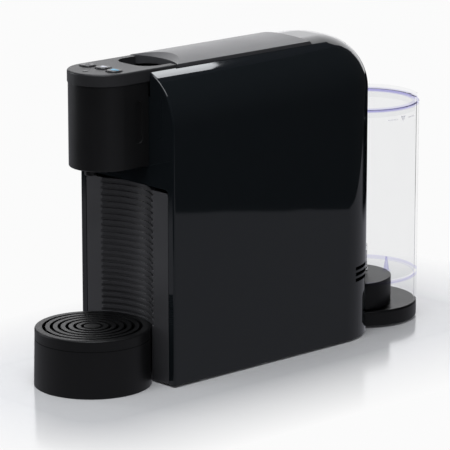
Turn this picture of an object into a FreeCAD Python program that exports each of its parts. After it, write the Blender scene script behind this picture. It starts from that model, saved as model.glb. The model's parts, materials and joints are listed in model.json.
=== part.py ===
import FreeCAD, Part
import math
import os

os.makedirs("parts", exist_ok=True)
Vector = FreeCAD.Vector

# Pod coffee machine, free-standing, front towards -Y, +Z up, millimetres.
# Lengths along Y are measured from the front face of the case while building.
# The finished pieces are moved so that the origin is the middle of the footprint.

# Case
BODY_WIDTH = 110.0
BODY_CROWN = 247.0
BODY_LENGTH = 238.0
REAR_CORNER = 50.0
SHOULDER = 43.0
WALL = 2.4
GROUND_GAP = 1.5
PLATE_THICKNESS = 3.0
FIT = 0.3
HALF = BODY_WIDTH / 2
INNER_HALF = HALF - WALL
HEAD_WAY_LOW = BODY_CROWN - 73.0
NECK_WAY_FRONT = 195.0
VENT_INNER = HALF - 19.0
BOARD_POST_RADIUS = 3.0
BOARD_POST_INSET = 6.0
BEAM_REST = 8.0

# Front opening, capsule drawer and drip tray
OPENING_HALF = HALF - 6.5
OPENING_TOP = BODY_CROWN - 91.6
OPENING_CORNER = 4.0
PANEL_GAP = 0.6
PANEL_TOP = OPENING_TOP - 3.0
PANEL_THICKNESS = 3.0
TRAY_Y = -36.0
TRAY_TOP = 45.6
TRAY_RADIUS_FOOT = 45.7
TRAY_RADIUS_TOP = TRAY_RADIUS_FOOT - 0.9
TRAY_WALL = 2.4
GRID_HEIGHT = 6.0
NICHE_RADIUS = TRAY_RADIUS_FOOT + 0.5
NICHE_WALL = 3.6
RIB_PITCH = 4.9
RIB_GROOVE = 2.3
RIB_DEPTH = 1.2
BIN_HALF = OPENING_HALF - 6.5
BIN_REAR = 95.0
BIN_TOP = PANEL_TOP - 12.4
BIN_WALL = 2.0
BIN_FRONT = 15.0
RIB_FIRST = 2.0
TONGUE_HALF = 12.0
TONGUE_REAR = 12.0
TONGUE_REACH = 10.0
TONGUE_TOP = 4.0
TRAY_FLOOR = 7.0
GRID_EDGE = 1.6
GRID_RIM_INNER = TRAY_RADIUS_TOP - 5.8
GRID_RING_HEIGHT = 3.0
GRID_HUB_RADIUS = 6.5
GRID_RING_FIRST = 9.0
GRID_RING_PITCH = 6.0
GRID_RING_WIDTH = 3.4
GRID_RING_COUNT = round((GRID_RIM_INNER - GRID_RING_FIRST) / GRID_RING_PITCH)
GRID_BAR_REACH = GRID_RIM_INNER + 1.0
GRID_BAR_HALF = 2.5
GRID_BAR_LIFT = 0.6
GRID_BAR_LAP = 0.4

# Head and cap
HEAD_HALF = 26.6
CAP_HALF = HEAD_HALF + 0.6
NOSE_Y = -23.2
HEAD_BOTTOM = BODY_CROWN - 76.0
CAP_TOP = BODY_CROWN - 0.5
CAP_SEAM = BODY_CROWN - 10.0
HEAD_WALL = 2.8
CAP_WALL = 2.2
CAP_ROOF = 2.5
CAP_REAR = 28.0
NOTCH_HALF = 20.0
NOTCH_FRONT = 3.0
NOTCH_CORNER = 13.0
BUTTON_RADIUS = 5.8
BUTTON_RISE = 1.2
BUTTON_SPREAD = BUTTON_RADIUS + 9.5
BUTTON_SPOTS = {"left": (-BUTTON_SPREAD, -25.0), "middle": (0.0, -22.6), "right": (BUTTON_SPREAD, -25.0)}
LENS_SPOT = (0.0, -40.5)
LENS_RADIUS = 1.9
GRIP_Y = -10.0
GRIP_WIDTH = 7.6
GRIP_LOW = HEAD_BOTTOM + 19.0
GRIP_HIGH = GRIP_LOW + 33.0
GRIP_DEPTH = 1.5
SPOUT_Y = TRAY_Y
SPOUT_TIP = HEAD_BOTTOM - 6.0
SPOUT_RADIUS = 4.6
SPOUT_BORE = 2.4
SPOUT_FLANGE = 8.0
SPOUT_EDGE = 1.0
SPOUT_HOLE = 5.0
TROUGH_LOW = HEAD_BOTTOM + 5.5
TROUGH_HIGH = TROUGH_LOW + 6.5
TROUGH_FLOOR = 1.5
TROUGH_HALF = 7.0
TROUGH_WALL = 2.0
TROUGH_FRONT = 5.0
TROUGH_REAR = 27.0
HEAD_EDGE = 1.2
CAP_EDGE = 1.5
LEDGE_LOW = CAP_SEAM - 8.0
LEDGE_WIDTH = 3.0
KEY_BOARD_Z = CAP_SEAM - 6.0
KEY_BOARD_REAR = -2.0
SWITCH_HALF = 3.0
SWITCH_TOP = CAP_SEAM - 2.4
STEM_FOOT = CAP_SEAM - 1.0
STEM_RADIUS = 1.8
BUTTON_EDGE = 1.0
FLANGE_THICKNESS = 1.5
FLANGE_REACH = 1.2
LENS_RISE = 0.3

# Lever and brew unit
LEVER_HALF = 27.3
LEVER_CROWN = BODY_CROWN + 2.5
LEVER_EDGE_DROP = 2.9
LEVER_THICKNESS = 8.0
LEVER_SKIN = 2.6
LEVER_FRONT = 28.6
LEVER_SCOOP = 8.0
LEVER_LIP = 3.0
SLOT_HALF = LEVER_HALF + 0.7
PIVOT_Y = 161.5
PIVOT_Z = BODY_CROWN - 9.0
LEVER_END_RADIUS = 12.5
PIN_RADIUS = 2.5
PIN_PLAY = 0.05
HUB_RADIUS = 5.5
EAR_RADIUS = 5.0
CRANK_LENGTH = 22.0
LEVER_SWING = 70.0
ARM_INNER = 10.0
ARM_OUTER = 14.0
EAR_INNER = 15.0
EAR_OUTER = 19.0
BREW_Z = BODY_CROWN - 43.0
BAR_LOW = BREW_Z - 4.0
BAR_HIGH = BREW_Z + 4.0
CUP_RADIUS = 19.5
CUP_WALL = 3.0
CUP_FRONT = 29.0
CUP_REAR = 60.0
BAR_INNER = 26.5
BAR_OUTER = 30.5
YOKE_HALF = 8.0
YOKE_PLAY = 0.6
FRAME_INNER = 32.5
FRAME_OUTER = 35.5
FRAME_FRONT = 24.0
FRAME_REAR = 187.0
FRAME_FOOT = BREW_Z - 20.0
FRAME_TOP = BODY_CROWN - 13.5
BEAM_HEIGHT = 4.0
BEAM_SPOTS = ((98.0, 112.0), (164.0, 178.0))
DECK_THICKNESS = 2.5
DECK_REAR = 146.0
WELL_FLOOR = BODY_CROWN - 21.0
WELL_HALF = NOTCH_HALF + 2.0
WELL_FRONT = 0.6
WELL_WALL = 2.0
DECK_FRONT = 34.0
CAPSULE_HALF = 17.0
CAPSULE_FRONT = 38.0
CAPSULE_REAR = 59.0
LEVER_HOLLOW_FRONT = 20.0
LEVER_HOLLOW_REAR = 148.0
CRANK_ARM_HALF = 4.0
EAR_FOOT = PIVOT_Z - 27.0
EAR_FOOT_HEIGHT = 5.0
OUTLET_RADIUS = 4.0
OUTLET_BORE = 2.0
OUTLET_LENGTH = 7.0
CARRIAGE_BAR = 6.0
YOKE_REACH = 7.0
YOKE_RISE = 5.0
INJECTOR_GAP = 1.0
INJECTOR_FACE = 8.0
INJECTOR_HALF = 14.0
INJECTOR_REAR = 20.0
INJECTOR_EAR_REAR = 18.0
NEEDLE_COUNT = 3
NEEDLE_RADIUS = 0.9
NEEDLE_CIRCLE = 8.0
NEEDLE_REACH = 4.0

# Water tank and its stand
TANK_RADIUS = 46.5
RECESS_GAP = 2.0
RECESS_RADIUS = TANK_RADIUS + RECESS_GAP
RECESS_FRONT = BODY_LENGTH - 28.2
TANK_Y = RECESS_FRONT + RECESS_RADIUS
TANK_WALL = 2.2
TANK_SKIRT = 15.0
TANK_FLOOR = 37.0
TANK_FLOOR_THICKNESS = 2.5
TANK_RIM = 183.2
LID_TOP = 187.5
LID_SKIRT = 6.5
STAND_RADIUS = TANK_RADIUS - 0.2
STAND_LOW = 2.0
STAND_TOP = 14.4
PEDESTAL_RADIUS = 35.0
PEDESTAL_Y = TANK_Y - 14.3
VALVE_Y = TANK_Y - 8.3
VALVE_RADIUS = 7.5
VALVE_LOW = 24.0
SOCKET_RADIUS = VALVE_RADIUS + 1.4
SOCKET_FLOOR = 18.0
NECK_HALF = 20.0
NECK_TOP = 12.0
NECK_FRONT = 190.0
WATER_Z = 8.25
STAND_EDGE = 2.0
WATERWAY_RADIUS = 1.0
WATERWAY_END = 8.0
SEAL_BORE = 3.0
SEAL_THICKNESS = 2.0
SPIGOT_X = 20.0
SPIGOT_Y = TANK_Y + 9.7
SPIGOT_FOOT = 2.6
SPIGOT_TIP = 0.7
SPIGOT_HEIGHT = 12.5
LID_EDGE = 1.2
LID_DISH = 1.0
LID_SKIRT_WALL = 2.0
THUMB_OFFSET = 38.0
THUMB_RADIUS = 14.0
VALVE_BORE = 4.5
VALVE_FLANGE = 11.5
VALVE_FLANGE_HEIGHT = 2.0
RING_Z = 30.0
RING_THICKNESS = 0.98
GROOVE_DEPTH = 1.0
GROOVE_HALF = 1.0
POPPET_RADIUS = 6.5
POPPET_THICKNESS = 2.5
POPPET_STEM = 2.0
POPPET_STEM_LOW = 26.0
POPPET_KNOB = 3.0
POPPET_KNOB_HEIGHT = 7.0
CAGE_RADIUS = 11.0
CAGE_BORE = CAGE_RADIUS - 1.4
CAGE_HEIGHT = 20.0
CAGE_ROOF = 1.4
CAGE_SLOTS = 4
CAGE_SLOT_HALF = 1.0
CAGE_SLOT_LOW = 3.0
CAGE_SLOT_HIGH = 4.0
VALVE_SEAT = TANK_FLOOR + TANK_FLOOR_THICKNESS + VALVE_FLANGE_HEIGHT

# Vents, feet, screws and inner units
VENT_COUNT = 3
VENT_LOW = 48.5
VENT_HEIGHT = 3.0
VENT_PITCH = 4.8
VENT_FRONT = 198.0
VENT_REAR = 218.0
FOOT_RADIUS = 7.0
FOOT_SPOTS = ((HALF - 15.0, 28.0), (HALF - 15.0, 184.0))
STAND_FOOT_SPOT = (24.0, TANK_Y + 17.7)
SCREW_SPOTS = ((HALF - 7.5, 36.0), (HALF - 7.5, 102.0), (HALF - 11.0, 186.0))
SCREW_RADIUS = 1.4
SCREW_HEAD = 2.8
SCREW_TOP = 14.0
SCREW_SEAT = 1.8
SCREW_SINK = 0.2
BOSS_RADIUS = 3.5
BOSS_TOP = 20.0
PLATE_TOP = GROUND_GAP + PLATE_THICKNESS
PLATE_FRONT = 16.0
PUMP_X = 22.0
PUMP_Z = 34.0
PUMP_RADIUS = 16.0
PUMP_FRONT = 110.0
PUMP_REAR = 186.0
COIL_HALF = 18.0
COIL_FRONT = 128.0
COIL_REAR = 166.0
COIL_EDGE = 3.0
CRADLE_HALF = 12.0
CRADLE_HEIGHT = 8.0
MOUNT_RADIUS = PUMP_RADIUS + 3.0
MOUNT_SPOTS = ((114.0, 120.0), (176.0, 182.0))
METER_X = -14.0
METER_Y = 150.0
METER_RADIUS = 13.0
METER_TOP = 18.0
METER_CAP_STEP = 4.0
METER_CAP_HEIGHT = 5.0
BLOCK_HALF = 20.0
BLOCK_FRONT = 102.0
BLOCK_REAR = 174.0
BLOCK_HIGH = FRAME_FOOT - 10.0
BLOCK_LOW = BLOCK_HIGH - 52.0
HANGER_X = 12.0
HANGER_INSET = 4.0
HANGER_RADIUS = 4.0
HOT_Z = BLOCK_HIGH - 14.0
COLD_X = 8.0
COLD_Z = BLOCK_LOW + 10.0
FIN_COUNT = 8
FIN_FIRST = 5.0
FIN_PITCH = 5.5
FIN_GAP = 2.5
FIN_DEPTH = 3.0
THERMOSTAT_Y = 138.0
THERMOSTAT_RADIUS = 7.0
THERMOSTAT_HEIGHT = 6.0
THERMOSTAT_FLANGE = 9.0
HOSE_RADIUS = 3.0
HOSE_BORE = 1.9
NIPPLE_RADIUS = 1.8
NIPPLE_LENGTH = 3.0
HOSE_GAP = 0.5
HOSE_BEND = 5.0
SUCTION_TURN_Y = 177.0
FEED_TURN_Y = 101.0
PRESSURE_TURN_Y = 200.0
BREW_TURN_Y = 93.0
BOARD_X = 11.0 - HALF
BOARD_FRONT = 104.0
BOARD_REAR = 182.0
BOARD_LOW = 62.0
BOARD_HIGH = 158.0
BOARD_THICKNESS = 1.6

# Blocks on the control board: place along and up from its lower front corner, then length, height, depth
RELAY = (8.0, 8.0, 19.0, 15.0, 15.0)
TRANSFORMER = (38.0, 10.0, 28.0, 28.0, 18.0)
CONNECTOR = (11.0, 80.0, 50.0, 8.0, 9.0)
CAPACITOR_ALONG = 18.0
CAPACITOR_UP = 50.0
CAPACITOR_RADIUS = 6.0
CAPACITOR_DEPTH = 16.0

# Cord gland
GLAND_SPOT = (-36.0, 196.0)
GLAND_RADIUS = 6.0
GLAND_BORE = 4.0
GLAND_RISE = 6.0
GLAND_FLANGE = 2.0

FAR = 400.0
FRONT_END = TRAY_Y - TRAY_RADIUS_FOOT
REAR_END = TANK_Y + TANK_RADIUS
MIDDLE_Y = (FRONT_END + REAR_END) / 2


# Simple solids
def box(x0, x1, y0, y1, z0, z1):
    return Part.makeBox(x1 - x0, y1 - y0, z1 - z0, Vector(x0, y0, z0))


def rod_x(y, z, radius, x0, x1):
    return Part.makeCylinder(radius, x1 - x0, Vector(x0, y, z), Vector(1, 0, 0))


def rod_y(x, z, radius, y0, y1):
    return Part.makeCylinder(radius, y1 - y0, Vector(x, y0, z), Vector(0, 1, 0))


def rod_z(x, y, radius, z0, z1):
    return Part.makeCylinder(radius, z1 - z0, Vector(x, y, z0), Vector(0, 0, 1))


def tube_z(x, y, outer, inner, z0, z1):
    return rod_z(x, y, outer, z0, z1).cut(rod_z(x, y, inner, z0, z1))


def both_sides(x0, x1, y0, y1, z0, z1):
    return [box(x0, x1, y0, y1, z0, z1), box(-x1, -x0, y0, y1, z0, z1)]


def join(first, *others):
    shape = first.fuse(list(others)) if others else first
    return shape.removeSplitter()


def round_edges(shape, radius, wanted):
    edges = [edge for edge in shape.Edges if wanted(edge)]
    return shape.makeFillet(radius, edges)


def upright(edge):
    ends = [vertex.Point for vertex in edge.Vertexes]
    return len(ends) == 2 and (ends[0] - ends[1]).cross(Vector(0, 0, 1)).Length < 1e-6


# A nose outline: straight sides with a half-round front
def nose(half, y_rear, z0, z1):
    front = rod_z(0, NOSE_Y, half, z0, z1).common(box(-half, half, NOSE_Y - half, NOSE_Y, z0, z1))
    return join(box(-half, half, NOSE_Y, y_rear, z0, z1), front)


# A tube along straight runs joined by tangent arcs
def hose(points, bend, outer, inner):
    spots = [Vector(*point) for point in points]
    edges = []
    start = spots[0]
    for before, corner, after in zip(spots, spots[1:], spots[2:]):
        arrive = (corner - before).normalize()
        leave = (after - corner).normalize()
        turn = arrive.getAngle(leave)
        reach = bend * math.tan(turn / 2)
        first = corner - arrive * reach
        last = corner + leave * reach
        inward = (leave - arrive).normalize()
        centre = corner + inward * (bend / math.cos(turn / 2))
        edges.append(Part.makeLine(start, first))
        edges.append(Part.Arc(first, centre - inward * bend, last).toShape())
        start = last
    edges.append(Part.makeLine(start, spots[-1]))
    path = Part.Wire(edges)
    heading = spots[1] - spots[0]
    skin = path.makePipeShell([Part.Wire(Part.makeCircle(outer, spots[0], heading))], True, True)
    bore = path.makePipeShell([Part.Wire(Part.makeCircle(inner, spots[0], heading))], True, True)
    return skin.cut(bore)


# The arched case block, inset on every side but the bottom
def case_block(inset):
    half = HALF - inset
    block = box(-half, half, inset, BODY_LENGTH - inset, GROUND_GAP - inset, BODY_CROWN - inset)

    def rear_corner(edge):
        return upright(edge) and edge.BoundBox.YMin > BODY_LENGTH / 2

    block = round_edges(block, REAR_CORNER - inset, rear_corner)

    def top_loop(edge):
        bounds = edge.BoundBox
        on_front = bounds.YMax < inset + 1
        return bounds.ZMin > BODY_CROWN - inset - 1 and not on_front

    block = round_edges(block, SHOULDER - inset, top_loop)
    recess = rod_z(0, TANK_Y, RECESS_RADIUS + inset, -FAR, FAR)
    return block.cut(recess)


# The two gloss case halves, joined on the middle plane
def case_halves():
    shell = case_block(0).cut(case_block(WALL))
    slot = box(-SLOT_HALF, SLOT_HALF, -1, PIVOT_Y, WELL_FLOOR - 1, FAR)
    slot_end = rod_x(PIVOT_Y, PIVOT_Z, LEVER_END_RADIUS + FIT, -SLOT_HALF, SLOT_HALF)
    head_way = box(-HEAD_HALF + HEAD_WALL, HEAD_HALF - HEAD_WALL, -1, WALL + 1, HEAD_WAY_LOW, WELL_FLOOR)
    opening = box(-OPENING_HALF, OPENING_HALF, -1, WALL + 1, -1, OPENING_TOP)
    opening = round_edges(opening, OPENING_CORNER, opening_corner)
    neck_way = box(-NECK_HALF - FIT, NECK_HALF + FIT, NECK_WAY_FRONT, TANK_Y, -1, NECK_TOP + FIT)
    cuts = [slot, slot_end, head_way, opening, neck_way]
    for index in range(VENT_COUNT):
        low = VENT_LOW + index * VENT_PITCH
        cuts += both_sides(VENT_INNER, HALF + 1, VENT_FRONT, VENT_REAR, low, low + VENT_HEIGHT)
    shell = shell.cut(cuts)
    bosses = []
    for x, y in SCREW_SPOTS:
        for side in (-1, 1):
            post = rod_z(side * x, y, BOSS_RADIUS, PLATE_TOP, BOSS_TOP)
            x0, x1 = sorted((side * x, side * HALF))
            web = box(x0, x1, y - 1, y + 1, PLATE_TOP, BOSS_TOP)
            bosses += [post, web]
    for y0, y1 in BEAM_SPOTS:
        bosses += both_sides(INNER_HALF - 6, HALF - 1, y0, y1, FRAME_FOOT - BEAM_REST, FRAME_FOOT)
    for y in (BOARD_FRONT + BOARD_POST_INSET, BOARD_REAR - BOARD_POST_INSET):
        for z in (BOARD_LOW + BOARD_POST_INSET, BOARD_HIGH - BOARD_POST_INSET):
            bosses.append(rod_x(y, z, BOARD_POST_RADIUS, -HALF + 1, BOARD_X))
    bosses = [boss.common(case_block(0)) for boss in bosses]
    shell = join(shell, *bosses)
    holes = []
    for x, y in SCREW_SPOTS:
        for side in (-1, 1):
            holes.append(rod_z(side * x, y, SCREW_RADIUS + PIN_PLAY, 0, SCREW_TOP + 1))
    shell = shell.cut(holes)
    left = shell.common(box(-FAR, 0, -FAR, FAR, -FAR, FAR))
    right = shell.common(box(0, FAR, -FAR, FAR, -FAR, FAR))
    return left, right


def opening_corner(edge):
    bounds = edge.BoundBox
    along_y = bounds.YLength > WALL
    return along_y and bounds.ZMin > OPENING_TOP - 1


# Plan outline of the inside of the case, as a flat slab
def base_outline(gap, z0, z1):
    half = INNER_HALF - gap
    slab = box(-half, half, WALL + gap, BODY_LENGTH - WALL - gap, z0, z1)

    def rear_corner(edge):
        return upright(edge) and edge.BoundBox.YMin > BODY_LENGTH / 2

    slab = round_edges(slab, REAR_CORNER - WALL - gap, rear_corner)
    return slab.cut(rod_z(0, TANK_Y, RECESS_RADIUS + WALL + gap, -FAR, FAR))


# Floor plate with pump cradles, screw holes and the cord hole
def base_plate():
    slab = base_outline(FIT, GROUND_GAP, PLATE_TOP)
    slab = slab.common(box(-FAR, FAR, PLATE_FRONT, FAR, -FAR, FAR))
    cradles = []
    for y0, y1 in MOUNT_SPOTS:
        top = PUMP_Z - MOUNT_RADIUS + CRADLE_HEIGHT
        cradles.append(box(PUMP_X - CRADLE_HALF, PUMP_X + CRADLE_HALF, y0, y1, PLATE_TOP, top))
    plate = join(slab, *cradles)
    cuts = [rod_y(PUMP_X, PUMP_Z, MOUNT_RADIUS, PUMP_FRONT, PUMP_REAR)]
    cuts.append(rod_z(GLAND_SPOT[0], GLAND_SPOT[1], GLAND_RADIUS, 0, PLATE_TOP + 1))
    for x, y in SCREW_SPOTS:
        for side in (-1, 1):
            cuts.append(rod_z(side * x, y, SCREW_RADIUS + PIN_PLAY, 0, PLATE_TOP + 1))
            cuts.append(rod_z(side * x, y, SCREW_HEAD + FIT, 0, GROUND_GAP + SCREW_SEAT))
    return plate.cut(cuts)


def feet():
    pads = []
    for x, y in FOOT_SPOTS:
        for side in (-1, 1):
            pads.append(rod_z(side * x, y, FOOT_RADIUS, 0, GROUND_GAP))
    x, y = STAND_FOOT_SPOT
    pads += [rod_z(side * x, y, FOOT_RADIUS, 0, STAND_LOW) for side in (-1, 1)]
    return Part.makeCompound(pads)


def case_screws():
    screws = []
    for x, y in SCREW_SPOTS:
        for side in (-1, 1):
            head = rod_z(side * x, y, SCREW_HEAD, GROUND_GAP + SCREW_SINK, GROUND_GAP + SCREW_SEAT)
            shank = rod_z(side * x, y, SCREW_RADIUS, GROUND_GAP + SCREW_SEAT, SCREW_TOP)
            screws.append(join(head, shank))
    return Part.makeCompound(screws)


# Rubber sleeve for the mains lead in the floor plate
def cord_gland():
    x, y = GLAND_SPOT
    sleeve = rod_z(x, y, GLAND_RADIUS, GROUND_GAP, PLATE_TOP + GLAND_RISE)
    flange = rod_z(x, y, GLAND_RADIUS + GLAND_FLANGE, PLATE_TOP, PLATE_TOP + FLANGE_THICKNESS)
    return join(sleeve, flange).cut(rod_z(x, y, GLAND_BORE, 0, FAR))


# Drawer front with the round ribbed niche and the tongue that carries the tray
def front_panel():
    half = OPENING_HALF - PANEL_GAP
    plate = box(-half, half, 0, PANEL_THICKNESS, GROUND_GAP, PANEL_TOP)

    def top_corner(edge):
        return edge.BoundBox.YLength > PANEL_THICKNESS / 2 and edge.BoundBox.ZMin > PANEL_TOP - 1

    plate = round_edges(plate, OPENING_CORNER - PANEL_GAP, top_corner)
    bulge = rod_z(0, TRAY_Y, NICHE_RADIUS + NICHE_WALL, GROUND_GAP, PANEL_TOP)
    bulge = bulge.common(box(-FAR, FAR, 0, FAR, -FAR, FAR))
    cuts = [rod_z(0, TRAY_Y, NICHE_RADIUS, -1, FAR)]
    rib_count = int((PANEL_TOP - TRAY_TOP) / RIB_PITCH) + 1
    for index in range(rib_count):
        top = PANEL_TOP - RIB_FIRST - index * RIB_PITCH
        cuts.append(tube_z(0, TRAY_Y, NICHE_RADIUS + RIB_DEPTH, NICHE_RADIUS - 1, top - RIB_GROOVE, top))
    panel = join(plate, bulge).cut(cuts)
    tongue = box(-TONGUE_HALF, TONGUE_HALF, TRAY_Y + TONGUE_REACH, TONGUE_REAR, GROUND_GAP, TONGUE_TOP)
    return join(panel, tongue)


# Open bin behind the panel for used capsules
def capsule_bin():
    outer = box(-BIN_HALF, BIN_HALF, BIN_FRONT, BIN_REAR, PLATE_TOP, BIN_TOP)
    inner = box(-BIN_HALF + BIN_WALL, BIN_HALF - BIN_WALL, BIN_FRONT + BIN_WALL, BIN_REAR - BIN_WALL,
                PLATE_TOP + BIN_WALL, FAR)
    cheeks = both_sides(BIN_HALF - BIN_WALL, BIN_HALF, PANEL_THICKNESS, BIN_FRONT + 1, PLATE_TOP, BIN_TOP)
    return join(outer.cut(inner), *cheeks)


def drip_tray():
    height = TRAY_TOP - GRID_HEIGHT
    axis = Vector(0, TRAY_Y, 0)
    up = Vector(0, 0, 1)
    outer = Part.makeCone(TRAY_RADIUS_FOOT, TRAY_RADIUS_TOP, height, axis, up)
    inner = rod_z(0, TRAY_Y, TRAY_RADIUS_TOP - TRAY_WALL, TRAY_FLOOR, FAR)
    under = rod_z(0, TRAY_Y, TRAY_RADIUS_FOOT - TRAY_WALL, -1, TONGUE_TOP)
    tongue_way = box(-TONGUE_HALF - FIT, TONGUE_HALF + FIT, TRAY_Y, FAR, -1, TONGUE_TOP)
    return outer.cut([inner, under, tongue_way])


# Concentric rings on a cross of bars inside a broad rim
def drip_grid():
    low = TRAY_TOP - GRID_HEIGHT
    ring_low = TRAY_TOP - GRID_RING_HEIGHT
    rim = tube_z(0, TRAY_Y, TRAY_RADIUS_TOP, GRID_RIM_INNER, low, TRAY_TOP)

    def top_edge(edge):
        on_top = edge.BoundBox.ZMin > TRAY_TOP - 0.1
        return on_top and edge.BoundBox.XLength > 2 * TRAY_RADIUS_TOP - 1

    rim = round_edges(rim, GRID_EDGE, top_edge)
    pieces = [rod_z(0, TRAY_Y, GRID_HUB_RADIUS, ring_low, TRAY_TOP)]
    for index in range(GRID_RING_COUNT):
        inner = GRID_RING_FIRST + index * GRID_RING_PITCH
        pieces.append(tube_z(0, TRAY_Y, inner + GRID_RING_WIDTH, inner, ring_low, TRAY_TOP))
    bar_low = low + GRID_BAR_LIFT
    bar_high = ring_low + GRID_BAR_LAP
    for reach_x, reach_y in ((GRID_BAR_REACH, GRID_BAR_HALF), (GRID_BAR_HALF, GRID_BAR_REACH)):
        pieces.append(box(-reach_x, reach_x, TRAY_Y - reach_y, TRAY_Y + reach_y, bar_low, bar_high))
    return join(rim, *pieces)


# Nose-shaped housing with a floor, a ledge for the button board and two side grips
def head_shell():
    inner = HEAD_HALF - HEAD_WALL
    body = nose(HEAD_HALF, 0, HEAD_BOTTOM, CAP_SEAM).cut(nose(inner, 1, HEAD_BOTTOM + HEAD_WALL, FAR))

    def bottom_edge(edge):
        outside = edge.BoundBox.YMax < -0.1 or edge.BoundBox.YLength > 1
        return edge.BoundBox.ZMax < HEAD_BOTTOM + 0.1 and outside

    body = round_edges(body, HEAD_EDGE, bottom_edge)
    ledge = nose(inner + 0.5, 0, LEDGE_LOW, KEY_BOARD_Z)
    ledge = ledge.cut(nose(inner - LEDGE_WIDTH, 1, LEDGE_LOW - 1, KEY_BOARD_Z + 1))
    cuts = [rod_z(0, SPOUT_Y, SPOUT_HOLE, 0, FAR)]
    radius = GRIP_WIDTH / 2
    for side in (-1, 1):
        x0, x1 = sorted((side * (HEAD_HALF - GRIP_DEPTH), side * (HEAD_HALF + 1)))
        cuts.append(rod_x(GRIP_Y, GRIP_LOW + radius, radius, x0, x1))
        cuts.append(rod_x(GRIP_Y, GRIP_HIGH - radius, radius, x0, x1))
        cuts.append(box(x0, x1, GRIP_Y - radius, GRIP_Y + radius, GRIP_LOW + radius, GRIP_HIGH - radius))
    return join(body, ledge).cut(cuts)


def notch(half, front, corner, z0, z1):
    block = box(-half, half, front, CAP_REAR + 1, z0, z1)

    def front_corner(edge):
        return upright(edge) and edge.BoundBox.YMax < front + 0.1

    return round_edges(block, corner, front_corner)


# Top cap with button holes and the finger notch in front of the lever
def control_cap():
    outer = nose(CAP_HALF, CAP_REAR, CAP_SEAM, CAP_TOP)

    def top_rim(edge):
        bounds = edge.BoundBox
        return bounds.ZMin > CAP_TOP - 0.1 and bounds.YMin < CAP_REAR - 1

    outer = round_edges(outer, CAP_EDGE, top_rim)
    hollow = nose(CAP_HALF - CAP_WALL, CAP_REAR - CAP_WALL, CAP_SEAM - 1, CAP_TOP - CAP_ROOF)
    collar = notch(NOTCH_HALF + CAP_WALL, NOTCH_FRONT - CAP_WALL, NOTCH_CORNER + CAP_WALL, CAP_SEAM, CAP_TOP)
    cap = outer.cut(hollow.cut(collar))
    cuts = [notch(NOTCH_HALF, NOTCH_FRONT, NOTCH_CORNER, 0, FAR)]
    for x, y in BUTTON_SPOTS.values():
        cuts.append(rod_z(x, y, BUTTON_RADIUS + FIT, 0, FAR))
    cuts.append(rod_z(LENS_SPOT[0], LENS_SPOT[1], LENS_RADIUS + PIN_PLAY, 0, FAR))
    return cap.cut(cuts)


# Button with a domed top, a flange under the cap and a stem over its switch
def button(spot):
    x, y = spot
    roof = CAP_TOP - CAP_ROOF
    knob = rod_z(x, y, BUTTON_RADIUS, roof - FLANGE_THICKNESS, CAP_TOP + BUTTON_RISE)
    knob = round_edges(knob, BUTTON_EDGE, lambda edge: edge.BoundBox.ZMin > CAP_TOP + BUTTON_RISE - 0.1)
    flange = rod_z(x, y, BUTTON_RADIUS + FLANGE_REACH, roof - FLANGE_THICKNESS, roof)
    stem = rod_z(x, y, STEM_RADIUS, STEM_FOOT, roof - 1)
    return join(knob, flange, stem)


def status_lens():
    x, y = LENS_SPOT
    roof = CAP_TOP - CAP_ROOF
    pipe = rod_z(x, y, LENS_RADIUS, roof - 1, CAP_TOP + LENS_RISE)
    return join(pipe, rod_z(x, y, LENS_RADIUS + FLANGE_REACH, roof - FLANGE_THICKNESS, roof))


def button_board():
    inner = HEAD_HALF - HEAD_WALL - FIT
    return nose(inner, KEY_BOARD_REAR, KEY_BOARD_Z, KEY_BOARD_Z + BOARD_THICKNESS)


def button_switches():
    low = KEY_BOARD_Z + BOARD_THICKNESS
    blocks = []
    for x, y in BUTTON_SPOTS.values():
        block = box(-SWITCH_HALF, SWITCH_HALF, -SWITCH_HALF, SWITCH_HALF, low, SWITCH_TOP)
        blocks.append(block.translate(Vector(x, y, 0)))
    return Part.makeCompound(blocks)


# Nozzle with a flange on the floor of the head
def spout():
    nozzle = rod_z(0, SPOUT_Y, SPOUT_RADIUS, SPOUT_TIP, HEAD_BOTTOM + HEAD_WALL + 1)
    nozzle = round_edges(nozzle, SPOUT_EDGE, lambda edge: edge.BoundBox.ZMax < SPOUT_TIP + 0.1)
    flange = rod_z(0, SPOUT_Y, SPOUT_FLANGE, HEAD_BOTTOM + HEAD_WALL, TROUGH_LOW)
    return join(nozzle, flange).cut(rod_z(0, SPOUT_Y, SPOUT_BORE, 0, FAR))


# Gutter from the brew cup's outlet to the spout
def coffee_trough():
    front = SPOUT_Y - TROUGH_FRONT
    inner = TROUGH_HALF - TROUGH_WALL
    gutter = box(-TROUGH_HALF, TROUGH_HALF, front, TROUGH_REAR, TROUGH_LOW, TROUGH_HIGH)
    channel = box(-inner, inner, front + TROUGH_FLOOR, TROUGH_REAR - 1, TROUGH_LOW + TROUGH_FLOOR, FAR)
    return gutter.cut([channel, rod_z(0, SPOUT_Y, SPOUT_BORE, 0, FAR)])


# Cross section of the lever: an arched strip of even thickness
def lever_strip(half, top_drop, thickness, y0, y1):
    crown = LEVER_CROWN - top_drop
    drop = LEVER_EDGE_DROP * (half / LEVER_HALF) ** 2
    corners = [Vector(-half, y0, crown - drop), Vector(0, y0, crown), Vector(half, y0, crown - drop)]
    lower = [corner - Vector(0, 0, thickness) for corner in corners]
    edges = [Part.Arc(*corners).toShape(), Part.makeLine(corners[2], lower[2]),
             Part.Arc(lower[2], lower[1], lower[0]).toShape(), Part.makeLine(lower[0], corners[0])]
    return Part.Face(Part.Wire(edges)).extrude(Vector(0, y1 - y0, 0))


# Crank pin place with the lever shut
def crank_spot():
    lean = math.radians(LEVER_SWING / 2)
    return PIVOT_Y + CRANK_LENGTH * math.sin(lean), PIVOT_Z - CRANK_LENGTH * math.cos(lean)


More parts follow.
